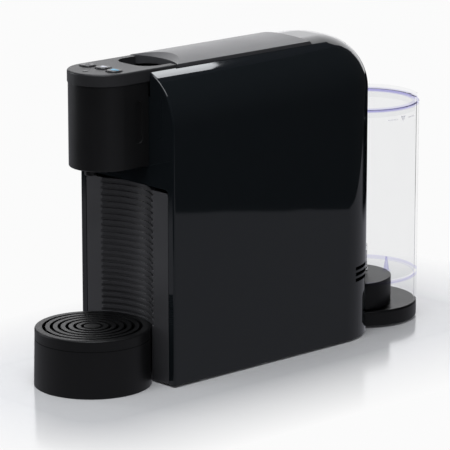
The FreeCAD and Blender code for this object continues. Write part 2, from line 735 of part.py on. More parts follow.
# Lever plate with a scooped front lip, a round hinge end and two crank arms
def lever():
    plate = lever_strip(LEVER_HALF, 0, LEVER_THICKNESS, LEVER_FRONT, FAR)
    scoop_radius = (LEVER_HALF ** 2 + LEVER_SCOOP ** 2) / (2 * LEVER_SCOOP)
    scoop_y = LEVER_FRONT + LEVER_SCOOP - scoop_radius
    bevel_low = LEVER_CROWN - LEVER_LIP
    bevel_radius = scoop_radius + 3 * LEVER_LIP
    bevel = Part.makeCone(scoop_radius, bevel_radius, LEVER_LIP, Vector(0, scoop_y, bevel_low))
    hollow_front = LEVER_FRONT + LEVER_HOLLOW_FRONT
    hollow_half = LEVER_HALF - LEVER_SKIN
    hollow = lever_strip(hollow_half, LEVER_SKIN, LEVER_THICKNESS, hollow_front, LEVER_HOLLOW_REAR)
    plate = plate.cut([rod_z(0, scoop_y, scoop_radius, 0, FAR), bevel, hollow])
    reach = box(-FAR, FAR, 0, PIVOT_Y, 0, FAR).fuse(rod_x(PIVOT_Y, PIVOT_Z, LEVER_END_RADIUS, -FAR, FAR))
    plate = plate.common(reach)
    crank_y, crank_z = crank_spot()
    clear = []
    arms = []
    for side in (-1, 1):
        x0, x1 = sorted((side * (EAR_INNER - FIT), side * (EAR_OUTER + FIT)))
        clear.append(rod_x(PIVOT_Y, PIVOT_Z, EAR_RADIUS + 2 * FIT, x0, x1))
        x0, x1 = sorted((side * ARM_INNER, side * ARM_OUTER))
        hub = rod_x(PIVOT_Y, PIVOT_Z, HUB_RADIUS, x0, x1)
        knuckle = rod_x(crank_y, crank_z, HUB_RADIUS - 1, x0, x1)
        arm = box(x0, x1, PIVOT_Y - CRANK_ARM_HALF, PIVOT_Y + CRANK_ARM_HALF, PIVOT_Z - CRANK_LENGTH, PIVOT_Z)
        arm.rotate(Vector(0, PIVOT_Y, PIVOT_Z), Vector(1, 0, 0), LEVER_SWING / 2)
        arms += [hub, knuckle, arm]
    shape = join(plate.cut(clear), *arms)
    bores = [rod_x(PIVOT_Y, PIVOT_Z, PIN_RADIUS + PIN_PLAY, -ARM_OUTER - 1, ARM_OUTER + 1)]
    bores.append(rod_x(crank_y, crank_z, PIN_RADIUS, -ARM_OUTER - 1, ARM_OUTER + 1))
    bores.append(rod_x(PIVOT_Y, PIVOT_Z, HUB_RADIUS + FIT, -ARM_INNER + FIT, ARM_INNER - FIT))
    return shape.cut(bores)


def lever_pin():
    return rod_x(PIVOT_Y, PIVOT_Z, PIN_RADIUS, -EAR_OUTER, EAR_OUTER)


def crank_pin():
    crank_y, crank_z = crank_spot()
    return rod_x(crank_y, crank_z, PIN_RADIUS, -ARM_OUTER, ARM_OUTER)


# Deck under the lever with the capsule slot and the floor of the finger notch
def top_deck():
    top = FRAME_TOP + DECK_THICKNESS
    plate = box(-FRAME_OUTER, FRAME_OUTER, DECK_FRONT, DECK_REAR, FRAME_TOP, top)
    well = box(-WELL_HALF, WELL_HALF, WELL_FRONT, DECK_FRONT + WELL_WALL, WELL_FLOOR, top)
    well_top = box(-WELL_HALF, WELL_HALF, WELL_FRONT, CAP_REAR, top, CAP_SEAM)
    hollow = box(-NOTCH_HALF, NOTCH_HALF, NOTCH_FRONT, DECK_FRONT, WELL_FLOOR + WELL_WALL, FAR)
    capsule_slot = box(-CAPSULE_HALF, CAPSULE_HALF, CAPSULE_FRONT, CAPSULE_REAR, 0, FAR)
    return join(plate, well, well_top).cut([hollow, capsule_slot])


# Brew frame: two cheeks on beams that rest on the case, with ears for the lever pin
def brew_frame():
    cheeks = both_sides(FRAME_INNER, FRAME_OUTER, FRAME_FRONT, FRAME_REAR, FRAME_FOOT, FRAME_TOP)
    pieces = []
    for y0, y1 in BEAM_SPOTS:
        span = INNER_HALF - FIT
        pieces.append(box(-span, span, y0, y1, FRAME_FOOT, FRAME_FOOT + BEAM_HEIGHT))
    for side in (-1, 1):
        x0, x1 = sorted((side * EAR_INNER, side * EAR_OUTER))
        pieces.append(rod_x(PIVOT_Y, PIVOT_Z, EAR_RADIUS, x0, x1))
        pieces.append(box(x0, x1, PIVOT_Y - EAR_RADIUS, PIVOT_Y + 1, EAR_FOOT, PIVOT_Z))
        x0, x1 = sorted((side * EAR_INNER, side * FRAME_OUTER))
        pieces.append(box(x0, x1, PIVOT_Y - EAR_RADIUS, PIVOT_Y + 1, EAR_FOOT, EAR_FOOT + EAR_FOOT_HEIGHT))
    frame = join(cheeks[0], cheeks[1], *pieces)
    return frame.cut(rod_x(PIVOT_Y, PIVOT_Z, PIN_RADIUS, -EAR_OUTER - 1, EAR_OUTER + 1))


# Sliding brew cup pulled by the crank pin through two tie bars and a yoke
def brew_carriage():
    crank_y, crank_z = crank_spot()
    cup = rod_y(0, BREW_Z, CUP_RADIUS, CUP_FRONT, CUP_REAR)
    outlet = rod_y(0, BREW_Z, OUTLET_RADIUS, CUP_FRONT - OUTLET_LENGTH, CUP_FRONT + 1)
    flange = box(-BAR_OUTER, BAR_OUTER, CUP_FRONT, CUP_FRONT + CARRIAGE_BAR, BAR_LOW, BAR_HIGH)
    bars = both_sides(BAR_INNER, BAR_OUTER, CUP_FRONT, crank_y + CARRIAGE_BAR, BAR_LOW, BAR_HIGH)
    bridge = box(-BAR_OUTER, BAR_OUTER, crank_y - CARRIAGE_BAR, crank_y + CARRIAGE_BAR, BAR_LOW, BAR_HIGH)
    yoke_top = crank_z + YOKE_RISE
    yoke = box(-YOKE_HALF, YOKE_HALF, crank_y - YOKE_REACH, crank_y + YOKE_REACH, BAR_LOW, yoke_top)
    play = PIN_RADIUS + YOKE_PLAY
    slot_low = PIVOT_Z - CRANK_LENGTH - play
    cuts = [rod_y(0, BREW_Z, CUP_RADIUS - CUP_WALL, CUP_FRONT + CUP_WALL, CUP_REAR + 1)]
    cuts.append(rod_y(0, BREW_Z, OUTLET_BORE, 0, CUP_FRONT + CUP_WALL + 1))
    cuts.append(box(-FAR, FAR, crank_y - play, crank_y + play, slot_low, FAR))
    return join(cup, outlet, flange, bars[0], bars[1], bridge, yoke).cut(cuts)


# Fixed injector behind the cup with three needles and an inlet nipple
def injector():
    middle = CUP_REAR + INJECTOR_FACE
    rear = CUP_REAR + INJECTOR_REAR
    top = BREW_Z + INJECTOR_HALF
    face = rod_y(0, BREW_Z, CUP_RADIUS, CUP_REAR + INJECTOR_GAP, middle)
    block = box(-INJECTOR_HALF, INJECTOR_HALF, middle, rear, BREW_Z - INJECTOR_HALF, top)
    ears = box(-FRAME_INNER, FRAME_INNER, middle, CUP_REAR + INJECTOR_EAR_REAR, BAR_HIGH + 2, top)
    nipple = rod_y(0, BREW_Z, NIPPLE_RADIUS, rear, rear + NIPPLE_LENGTH)
    needles = []
    for index in range(NEEDLE_COUNT):
        turn = 2 * math.pi * index / NEEDLE_COUNT
        x = NEEDLE_CIRCLE * math.cos(turn)
        z = BREW_Z + NEEDLE_CIRCLE * math.sin(turn)
        needles.append(rod_y(x, z, NEEDLE_RADIUS, CUP_REAR - NEEDLE_REACH, CUP_REAR + 2 * INJECTOR_GAP))
    return join(face, block, ears, nipple, *needles)


# Heating block hung under the frame beams
def thermoblock():
    block = box(-BLOCK_HALF, BLOCK_HALF, BLOCK_FRONT, BLOCK_REAR, BLOCK_LOW, BLOCK_HIGH)
    pieces = []
    for x in (-HANGER_X, HANGER_X):
        for y in (BLOCK_FRONT + HANGER_INSET, BLOCK_REAR - HANGER_INSET):
            pieces.append(rod_z(x, y, HANGER_RADIUS, BLOCK_HIGH - 1, FRAME_FOOT))
    pieces.append(rod_y(0, HOT_Z, NIPPLE_RADIUS, BLOCK_FRONT - NIPPLE_LENGTH, BLOCK_FRONT))
    pieces.append(rod_y(COLD_X, COLD_Z, NIPPLE_RADIUS, BLOCK_REAR, BLOCK_REAR + NIPPLE_LENGTH))
    grooves = []
    inner = BLOCK_HALF - FIN_DEPTH
    for index in range(FIN_COUNT):
        low = BLOCK_LOW + FIN_FIRST + index * FIN_PITCH
        grooves += both_sides(inner, BLOCK_HALF + 1, BLOCK_FRONT - 1, BLOCK_REAR + 1, low, low + FIN_GAP)
    return join(block.cut(grooves), *pieces)


def thermostat():
    cap = rod_z(0, THERMOSTAT_Y, THERMOSTAT_RADIUS, BLOCK_HIGH, BLOCK_HIGH + THERMOSTAT_HEIGHT)
    return join(cap, rod_z(0, THERMOSTAT_Y, THERMOSTAT_FLANGE, BLOCK_HIGH, BLOCK_HIGH + FLANGE_THICKNESS))


# Vibration pump: a coil block around a barrel with a nipple at each end
def pump():
    barrel = rod_y(PUMP_X, PUMP_Z, PUMP_RADIUS, PUMP_FRONT, PUMP_REAR)
    coil = box(-COIL_HALF, COIL_HALF, COIL_FRONT, COIL_REAR, -COIL_HALF, COIL_HALF)
    coil.translate(Vector(PUMP_X, 0, PUMP_Z))
    coil = round_edges(coil, COIL_EDGE, lambda edge: edge.BoundBox.YLength > COIL_EDGE)
    inlet = rod_y(PUMP_X, PUMP_Z, NIPPLE_RADIUS, PUMP_FRONT - NIPPLE_LENGTH, PUMP_FRONT)
    outlet = rod_y(PUMP_X, PUMP_Z, NIPPLE_RADIUS, PUMP_REAR, PUMP_REAR + NIPPLE_LENGTH)
    return join(barrel, coil, inlet, outlet)


def pump_mounts():
    rings = []
    for y0, y1 in MOUNT_SPOTS:
        ring = rod_y(PUMP_X, PUMP_Z, MOUNT_RADIUS, y0, y1)
        rings.append(ring.cut(rod_y(PUMP_X, PUMP_Z, PUMP_RADIUS, y0, y1)))
    return Part.makeCompound(rings)


def flow_meter():
    drum = rod_z(METER_X, METER_Y, METER_RADIUS, PLATE_TOP, METER_TOP)
    cap = rod_z(METER_X, METER_Y, METER_RADIUS - METER_CAP_STEP, METER_TOP, METER_TOP + METER_CAP_HEIGHT)
    reach = METER_RADIUS + NIPPLE_LENGTH
    nipples = rod_y(METER_X, WATER_Z, NIPPLE_RADIUS, METER_Y - reach, METER_Y + reach)
    return join(drum, cap, nipples)


def hoses():
    meter_rear = METER_Y + METER_RADIUS + HOSE_GAP
    meter_front = METER_Y - METER_RADIUS - HOSE_GAP
    suction = [(0, NECK_FRONT - HOSE_GAP, WATER_Z), (0, SUCTION_TURN_Y, WATER_Z),
               (METER_X, SUCTION_TURN_Y, WATER_Z), (METER_X, meter_rear, WATER_Z)]
    feed = [(METER_X, meter_front, WATER_Z), (METER_X, FEED_TURN_Y, WATER_Z), (PUMP_X, FEED_TURN_Y, WATER_Z),
            (PUMP_X, FEED_TURN_Y, PUMP_Z), (PUMP_X, PUMP_FRONT - HOSE_GAP, PUMP_Z)]
    pressure = [(PUMP_X, PUMP_REAR + HOSE_GAP, PUMP_Z), (PUMP_X, PRESSURE_TURN_Y, PUMP_Z),
                (PUMP_X, PRESSURE_TURN_Y, COLD_Z), (COLD_X, PRESSURE_TURN_Y, COLD_Z),
                (COLD_X, BLOCK_REAR + HOSE_GAP, COLD_Z)]
    brew = [(0, BLOCK_FRONT - HOSE_GAP, HOT_Z), (0, BREW_TURN_Y, HOT_Z), (0, BREW_TURN_Y, BREW_Z),
            (0, CUP_REAR + INJECTOR_REAR + HOSE_GAP, BREW_Z)]
    routes = {"suction_hose": suction, "feed_hose": feed, "pressure_hose": pressure, "brew_hose": brew}
    return {name: hose(route, HOSE_BEND, HOSE_RADIUS, HOSE_BORE) for name, route in routes.items()}


def control_board():
    return box(BOARD_X, BOARD_X + BOARD_THICKNESS, BOARD_FRONT, BOARD_REAR, BOARD_LOW, BOARD_HIGH)


def board_parts():
    face = BOARD_X + BOARD_THICKNESS
    blocks = []
    for along, up, length, height, depth in (RELAY, TRANSFORMER, CONNECTOR):
        y = BOARD_FRONT + along
        z = BOARD_LOW + up
        blocks.append(box(face, face + depth, y, y + length, z, z + height))
    y = BOARD_FRONT + CAPACITOR_ALONG
    z = BOARD_LOW + CAPACITOR_UP
    blocks.append(rod_x(y, z, CAPACITOR_RADIUS, face, face + CAPACITOR_DEPTH))
    return Part.makeCompound(blocks)


# Disc and pedestal under the tank, with the water socket and a neck into the case
def tank_stand():
    disc = rod_z(0, TANK_Y, STAND_RADIUS, STAND_LOW, STAND_TOP)
    disc = round_edges(disc, STAND_EDGE, lambda edge: edge.BoundBox.ZMin > STAND_TOP - 0.1)
    pedestal = rod_z(0, PEDESTAL_Y, PEDESTAL_RADIUS, STAND_LOW, TANK_FLOOR)
    pedestal = pedestal.common(rod_z(0, TANK_Y, TANK_RADIUS - TANK_WALL - 2 * FIT, 0, FAR))
    neck = box(-NECK_HALF, NECK_HALF, NECK_FRONT, TANK_Y, PLATE_TOP, NECK_TOP)
    nipple = rod_y(0, WATER_Z, NIPPLE_RADIUS, NECK_FRONT - NIPPLE_LENGTH, NECK_FRONT + 1)
    cuts = [rod_z(0, VALVE_Y, SOCKET_RADIUS, SOCKET_FLOOR, FAR)]
    cuts.append(rod_z(0, VALVE_Y, WATERWAY_RADIUS, WATER_Z, FAR))
    cuts.append(rod_y(0, WATER_Z, WATERWAY_RADIUS, NECK_FRONT - WATERWAY_END, VALVE_Y))
    return join(disc, pedestal, neck, nipple).cut(cuts)


# Rubber washer on the floor of the water socket
def inlet_seal():
    return tube_z(0, VALVE_Y, SOCKET_RADIUS, SEAL_BORE, SOCKET_FLOOR, SOCKET_FLOOR + SEAL_THICKNESS)


# Clear tank: wall, raised floor over a skirt, a thicker rim and a guide spigot
def water_tank():
    wall = tube_z(0, TANK_Y, TANK_RADIUS, TANK_RADIUS - TANK_WALL, TANK_SKIRT, TANK_RIM)
    floor = rod_z(0, TANK_Y, TANK_RADIUS - 1, TANK_FLOOR, TANK_FLOOR + TANK_FLOOR_THICKNESS)
    spigot_base = Vector(SPIGOT_X, SPIGOT_Y, TANK_FLOOR + TANK_FLOOR_THICKNESS - 0.5)
    spigot = Part.makeCone(SPIGOT_FOOT, SPIGOT_TIP, SPIGOT_HEIGHT, spigot_base)
    return join(wall, floor, spigot).cut(rod_z(0, VALVE_Y, VALVE_RADIUS + PIN_PLAY, 0, VALVE_SEAT))


# Clear lid with a plug skirt and a thumb notch
def tank_lid():
    plate = rod_z(0, TANK_Y, TANK_RADIUS, TANK_RIM, LID_TOP)
    plate = round_edges(plate, LID_EDGE, lambda edge: edge.BoundBox.ZMin > LID_TOP - 0.1)
    plug = TANK_RADIUS - TANK_WALL - 2 * FIT
    inner = plug - LID_SKIRT_WALL
    skirt = tube_z(0, TANK_Y, plug, inner, TANK_RIM - LID_SKIRT, TANK_RIM + 0.5)
    dish = rod_z(0, TANK_Y, inner, TANK_RIM - LID_DISH, TANK_RIM + 2 * LID_DISH)
    thumb = rod_z(THUMB_OFFSET, TANK_Y + THUMB_OFFSET, THUMB_RADIUS, 0, FAR)
    return join(plate, skirt).cut([dish, thumb])


# Groove round the valve housing for its sealing ring
def ring_groove(outer):
    return tube_z(0, VALVE_Y, outer, VALVE_RADIUS - GROOVE_DEPTH, RING_Z - GROOVE_HALF, RING_Z + GROOVE_HALF)


# Valve housing through the tank floor
def valve_body():
    flange_low = VALVE_SEAT - VALVE_FLANGE_HEIGHT
    barrel = rod_z(0, VALVE_Y, VALVE_RADIUS, VALVE_LOW, flange_low + 1)
    flange = rod_z(0, VALVE_Y, VALVE_FLANGE, flange_low, VALVE_SEAT)
    return join(barrel, flange).cut([rod_z(0, VALVE_Y, VALVE_BORE, 0, FAR), ring_groove(VALVE_RADIUS + 1)])


def valve_seal():
    ring = Part.makeTorus(VALVE_RADIUS, RING_THICKNESS, Vector(0, VALVE_Y, RING_Z))
    return ring.common(ring_groove(VALVE_RADIUS + 2))


# Plunger that shuts the valve from above, with a stem down its bore
def valve_poppet():
    head = rod_z(0, VALVE_Y, POPPET_RADIUS, VALVE_SEAT, VALVE_SEAT + POPPET_THICKNESS)
    stem = rod_z(0, VALVE_Y, POPPET_STEM, POPPET_STEM_LOW, VALVE_SEAT + 1)
    knob = rod_z(0, VALVE_Y, POPPET_KNOB, VALVE_SEAT, VALVE_SEAT + POPPET_KNOB_HEIGHT)
    return join(head, stem, knob)


# Clear cage with upright slots around the valve
def filter_cage():
    high = VALVE_SEAT + CAGE_HEIGHT
    cage = rod_z(0, VALVE_Y, CAGE_RADIUS, VALVE_SEAT, high)
    cage = cage.cut(rod_z(0, VALVE_Y, CAGE_BORE, VALVE_SEAT - 1, high - CAGE_ROOF))
    reach = CAGE_RADIUS + 1
    step = 180.0 / CAGE_SLOTS
    cuts = []
    for index in range(CAGE_SLOTS):
        slot = box(-reach, reach, VALVE_Y - CAGE_SLOT_HALF, VALVE_Y + CAGE_SLOT_HALF,
                   VALVE_SEAT + CAGE_SLOT_LOW, high - CAGE_SLOT_HIGH)
        slot.rotate(Vector(0, VALVE_Y, 0), Vector(0, 0, 1), step * (index + 0.5))
        cuts.append(slot)
    return cage.cut(cuts)


left_case, right_case = case_halves()
nodes = {
    "left_case": left_case,
    "right_case": right_case,
    "base_plate": base_plate(),
    "feet": feet(),
    "case_screws": case_screws(),
    "cord_gland": cord_gland(),
    "front_panel": front_panel(),
    "capsule_bin": capsule_bin(),
    "drip_tray": drip_tray(),
    "drip_grid": drip_grid(),
    "head_shell": head_shell(),
    "control_cap": control_cap(),
    "status_lens": status_lens(),
    "button_board": button_board(),
    "button_switches": button_switches(),
    "spout": spout(),
    "coffee_trough": coffee_trough(),
    "lever": lever(),
    "lever_pin": lever_pin(),
    "crank_pin": crank_pin(),
    "top_deck": top_deck(),
    "brew_frame": brew_frame(),
    "brew_carriage": brew_carriage(),
    "injector": injector(),
    "thermoblock": thermoblock(),
    "thermostat": thermostat(),
    "pump": pump(),
    "pump_mounts": pump_mounts(),
    "flow_meter": flow_meter(),
    "control_board": control_board(),
    "board_parts": board_parts(),
    "tank_stand": tank_stand(),
    "inlet_seal": inlet_seal(),
    "water_tank": water_tank(),
    "tank_lid": tank_lid(),
    "valve_body": valve_body(),
    "valve_seal": valve_seal(),
    "valve_poppet": valve_poppet(),
    "filter_cage": filter_cage(),
}
nodes.update(hoses())
for side, spot in BUTTON_SPOTS.items():
    nodes["button_" + side] = button(spot)

for name, shape in nodes.items():
    placed = shape.copy()
    placed.translate(Vector(0, -MIDDLE_Y, 0))
    placed.exportStep("parts/" + name + ".step")
    solids = placed.Solids
    print(name, len(solids), placed.isValid(), round(placed.Volume / 1000, 2))
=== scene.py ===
# %% [markdown]
# A pod coffee machine
#
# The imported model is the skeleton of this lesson: every piece is already in its place, in metres.
# We load it first and keep its box, because nothing that we add may make the machine bigger.

# %% Load the frame
import json
import math
import bmesh
import bpy
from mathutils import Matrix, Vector


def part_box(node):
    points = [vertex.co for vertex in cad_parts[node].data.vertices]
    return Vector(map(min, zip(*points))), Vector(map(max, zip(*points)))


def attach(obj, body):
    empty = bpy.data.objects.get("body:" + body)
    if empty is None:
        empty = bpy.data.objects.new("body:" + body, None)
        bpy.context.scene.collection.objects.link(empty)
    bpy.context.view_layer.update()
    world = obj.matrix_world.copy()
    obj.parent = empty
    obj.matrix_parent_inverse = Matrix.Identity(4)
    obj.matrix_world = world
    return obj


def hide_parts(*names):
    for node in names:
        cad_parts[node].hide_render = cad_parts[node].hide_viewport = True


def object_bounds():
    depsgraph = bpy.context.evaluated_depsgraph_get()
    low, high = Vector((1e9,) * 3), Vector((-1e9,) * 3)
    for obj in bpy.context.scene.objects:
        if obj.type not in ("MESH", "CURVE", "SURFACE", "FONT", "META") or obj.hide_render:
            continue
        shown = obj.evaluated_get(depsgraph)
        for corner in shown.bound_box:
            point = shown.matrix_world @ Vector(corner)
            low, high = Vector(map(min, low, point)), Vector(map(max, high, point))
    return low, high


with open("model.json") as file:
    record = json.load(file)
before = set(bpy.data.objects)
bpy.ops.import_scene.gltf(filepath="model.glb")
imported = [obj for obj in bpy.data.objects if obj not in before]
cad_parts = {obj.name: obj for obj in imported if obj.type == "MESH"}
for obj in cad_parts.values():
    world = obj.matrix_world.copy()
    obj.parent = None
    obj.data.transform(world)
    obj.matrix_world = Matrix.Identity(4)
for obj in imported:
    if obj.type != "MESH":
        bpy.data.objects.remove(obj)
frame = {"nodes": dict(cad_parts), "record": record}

MM = 0.001
CAD_BOX = [list(corner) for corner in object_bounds()]
BODY_OF = {node: body for body, nodes in frame["record"]["behaviour"]["bodies"].items() for node in nodes}
print("frame box", CAD_BOX, "nodes", len(frame["nodes"]))

# %% [markdown]
# Shader sums as Python sums
#
# A finish is a small sum of noises and heights. Wiring Math nodes by hand hides that sum, so one class
# wraps a socket: adding or multiplying two of them adds the Math node. Its method `add` makes any other
# node, and `feed` links the result into an input.

# %% Socket class
class Socket:
    def __init__(self, tree, socket=None):
        self.tree = tree
        self.socket = socket

    def feed(self, node, name):
        self.tree.links.new(self.socket, node.inputs[name])

    def add(self, kind, settings=None, inputs=None, output=0):
        node = self.tree.nodes.new(kind)
        for key, value in (settings or {}).items():
            setattr(node, key, value)
        for key, value in (inputs or {}).items():
            if isinstance(value, Socket):
                value.feed(node, key)
            else:
                node.inputs[key].default_value = value
        return Socket(self.tree, node.outputs[output])

    def maths(self, operation, first, second=0.0):
        return self.add("ShaderNodeMath", {"operation": operation}, {0: first, 1: second})

    def __add__(self, other):
        return self.maths("ADD", self, other)

    def __radd__(self, other):
        return self.maths("ADD", other, self)

    def __sub__(self, other):
        return self.maths("SUBTRACT", self, other)

    def __rsub__(self, other):
        return self.maths("SUBTRACT", other, self)

    def __mul__(self, other):
        return self.maths("MULTIPLY", self, other)

    def __rmul__(self, other):
        return self.maths("MULTIPLY", other, self)

    def above(self, limit):
        return self.maths("GREATER_THAN", self, limit)

    def below(self, limit):
        return self.maths("LESS_THAN", self, limit)

    def clamp(self):
        return self.add("ShaderNodeClamp", {}, {"Value": self})


# %% [markdown]
# How every finish starts
#
# Each finish is Blender's Principled shader, fed by noise at the place of each point. We take the place from
# the object itself, so the pattern moves with the piece and nothing has to be unwrapped. A blend then turns
# a number between 0 and 1 into a colour.

# %% Helpers for finishes
MIX_FACTOR, MIX_FIRST, MIX_SECOND, MIX_RESULT = 0, 6, 7, 2
NOISE_MIDDLE = 0.5


def grey(level, tint=0.0):
    return (level, level, level * (1 + tint), 1.0)


def start_finish(name):
    material = bpy.data.materials.new(name)
    material.use_nodes = True
    tree = material.node_tree
    place = Socket(tree).add("ShaderNodeTexCoord", output="Object")
    return material, tree.nodes["Principled BSDF"], place


def noise(place, size, detail=2.0):
    return place.add("ShaderNodeTexNoise", {}, {"Vector": place, "Scale": 1.0 / size, "Detail": detail})


def axis_value(place, axis):
    return place.add("ShaderNodeSeparateXYZ", {}, {"Vector": place}, axis)


def inside_band(height, band):
    low, high = band
    return height.above(low) * height.below(high)


def blend_colours(factor, first, second):
    inputs = {MIX_FACTOR: factor, MIX_FIRST: first, MIX_SECOND: second}
    return factor.add("ShaderNodeMix", {"data_type": "RGBA"}, inputs, MIX_RESULT)


def set_bump(shader, height, distance):
    bump = height.add("ShaderNodeBump", {}, {"Height": height, "Distance": distance, "Strength": 1.0})
    bump.feed(shader, "Normal")


# %% [markdown]
# Moulded plastics
#
# Most of the machine is black plastic, and only the mould's surface tells the pieces apart. A spark-eroded
# mould leaves a fine grain, which we make as a bump with grains about half a millimetre wide. A picture of
# the grain would do too, but noise needs no file and fits any piece. Slow clouds in colour and roughness
# stand for handling and flow marks: one flat grey would look like an unfinished render. The drip tray has a
# thin seam below its top, which is a dark band at one height.

# %% Grained plastic
CLOUD_SIZE, CLOUD_SHADE, CLOUD_ROUGHNESS = 30 * MM, 0.15, 0.08
GRAIN_DETAIL, GRAIN_ROUGHNESS = 4.0, 0.06
SEAM_LEVEL, SEAM_ROUGHNESS = 0.0005, 0.5


def grained_plastic(name, level, rough, grain_size, grain_height, specular=0.5, tint=0.06, seam=None):
    material, shader, place = start_finish(name)
    cloud = noise(place, CLOUD_SIZE)
    grain = noise(place, grain_size, GRAIN_DETAIL)
    darker = grey(level * (1 - CLOUD_SHADE), tint)
    paler = grey(level * (1 + CLOUD_SHADE), tint)
    colour = blend_colours(cloud, darker, paler)
    uneven = (cloud - NOISE_MIDDLE) * CLOUD_ROUGHNESS + (grain - NOISE_MIDDLE) * GRAIN_ROUGHNESS
    roughness = uneven + rough
    if seam:
        line = inside_band(axis_value(place, "Z"), seam)
        colour = blend_colours(line, colour, grey(SEAM_LEVEL))
        roughness = roughness + line * SEAM_ROUGHNESS
    colour.feed(shader, "Base Color")
    roughness.feed(shader, "Roughness")
    shader.inputs["Specular IOR Level"].default_value = specular
    set_bump(shader, grain, grain_height)
    return material


# %% Black and grey plastics
TRAY_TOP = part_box("drip_tray")[1][2]
TRAY_SEAM = (TRAY_TOP - 3.0 * MM, TRAY_TOP - 2.3 * MM)
HEAD_FINISH = grained_plastic("head_grain_black", level=0.0045, rough=0.40, specular=0.34,
                              grain_size=0.4 * MM, grain_height=0.04 * MM)
TRAY_FINISH = grained_plastic("tray_grain_black", level=0.0035, rough=0.44, specular=0.25,
                              grain_size=0.4 * MM, grain_height=0.04 * MM, seam=TRAY_SEAM)
STAND_FINISH = grained_plastic("stand_satin_black", level=0.004, rough=0.38, specular=0.2,
                               grain_size=0.6 * MM, grain_height=0.02 * MM)
LEVER_FINISH = grained_plastic("lever_satin_grey", level=0.035, rough=0.34, specular=0.55,
                               grain_size=0.5 * MM, grain_height=0.02 * MM)
CAP_FINISH = grained_plastic("cap_satin_grey", level=0.014, rough=0.42, specular=0.34,
                             grain_size=0.5 * MM, grain_height=0.03 * MM)
PANEL_FINISH = grained_plastic("panel_semi_gloss_grey", level=0.029, rough=0.34, specular=0.25,
                               grain_size=0.9 * MM, grain_height=0.01 * MM)
BUTTON_FINISH = grained_plastic("button_satin_black", level=0.016, rough=0.34,
                                grain_size=0.5 * MM, grain_height=0.02 * MM)
INSIDE_FINISH = grained_plastic("inside_moulding_black", level=0.01, rough=0.55,
                                grain_size=0.6 * MM, grain_height=0.04 * MM)
RUBBER_FINISH = grained_plastic("foot_rubber_black", level=0.018, rough=0.75, specular=0.3,
                                grain_size=0.8 * MM, grain_height=0.08 * MM)
PUMP_FINISH = grained_plastic("pump_moulding_tan", level=0.42, rough=0.5, tint=-0.2,
                              grain_size=0.8 * MM, grain_height=0.04 * MM)
print("grained finishes", len(bpy.data.materials))

# %% [markdown]
# Piano-black case
#
# The case is polished to a mirror. Real gloss is never perfectly flat: a very shallow, wide ripple bends
# the reflections, and fine dust lifts the roughness a little here and there. A clear coat over black would
# be another way, but we take the case as one moulded plastic, so one layer of low roughness is enough.

# %% Gloss finish
RIPPLE_SIZE, RIPPLE_HEIGHT, RIPPLE_ROUGHNESS = 45 * MM, 0.06 * MM, 0.015
DUST_SIZE, DUST_ROUGHNESS = 2 * MM, 0.02
GLOSS_DARK, GLOSS_PALE = (0.0040, 0.0051, 0.0060, 1), (0.0050, 0.0063, 0.0072, 1)
GLOSS_ROUGHNESS, GLOSS_SPECULAR = 0.025, 0.34


def gloss_case():
    material, shader, place = start_finish("case_piano_black")
    ripple = noise(place, RIPPLE_SIZE, detail=1.0)
    dust = noise(place, DUST_SIZE, detail=3.0)
    colour = blend_colours(dust, GLOSS_DARK, GLOSS_PALE)
    roughness = dust * DUST_ROUGHNESS + ripple * RIPPLE_ROUGHNESS + GLOSS_ROUGHNESS
    colour.feed(shader, "Base Color")
    roughness.feed(shader, "Roughness")
    shader.inputs["Specular IOR Level"].default_value = GLOSS_SPECULAR
    set_bump(shader, ripple, RIPPLE_HEIGHT)
    return material


CASE_FINISH = gloss_case()
print("gloss finish", CASE_FINISH.name)

# %% [markdown]
# Clear tank plastic
#
# The tank and its fittings are clear. The rim, the edge of the floor and the spigot gather a faint violet,
# as edges of clear plastic do, so the colour changes with place. Real clear plastic has an index of
# refraction near 1.5. The tank's index is set almost to 1 here, because in this dim studio a higher one
# turns the edges of the tank black. A shader for clear things alone could be used too, but transmission in
# the Principled shader keeps all the finishes alike.

# %% Where the tank is tinted
TANK_LOW, TANK_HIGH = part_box("water_tank")
TANK_AXIS = ((TANK_LOW[0] + TANK_HIGH[0]) / 2, (TANK_LOW[1] + TANK_HIGH[1]) / 2)
TANK_RADIUS = (TANK_HIGH[0] - TANK_LOW[0]) / 2
RIM_BAND = (TANK_HIGH[2] - 2.0 * MM, TANK_HIGH[2] + 1.0 * MM)
FLOOR_BAND = (TANK_LOW[2] + 21.5 * MM, TANK_LOW[2] + 24.5 * MM)
FLOOR_EDGE = TANK_RADIUS - 3.0 * MM
SPIGOT_BAND = (TANK_LOW[2] + 24.0 * MM, TANK_LOW[2] + 41.0 * MM)
SPIGOT_SPOT = (TANK_AXIS[0] + 20.0 * MM, TANK_AXIS[1] + 9.7 * MM)
SPIGOT_REACH = 4.0 * MM


def squared_distance(across, along, spot):
    return (across - spot[0]) * (across - spot[0]) + (along - spot[1]) * (along - spot[1])


def tinted_edges(place):
    across = axis_value(place, "X")
    along = axis_value(place, "Y")
    height = axis_value(place, "Z")
    near_wall = squared_distance(across, along, TANK_AXIS).above(FLOOR_EDGE ** 2)
    near_spigot = squared_distance(across, along, SPIGOT_SPOT).below(SPIGOT_REACH ** 2)
    edges = inside_band(height, RIM_BAND) + inside_band(height, FLOOR_BAND) * near_wall
    return (edges + inside_band(height, SPIGOT_BAND) * near_spigot).clamp()


# %% Clear finish
CLEAR_DARK, CLEAR_PALE = (0.925, 0.927, 0.93, 1), (0.94, 0.942, 0.945, 1)
EDGE_VIOLET = (0.67, 0.66, 0.86, 1)
HAZE_SIZE, HAZE_ROUGHNESS, CLEAR_ROUGHNESS = 20 * MM, 0.02, 0.005


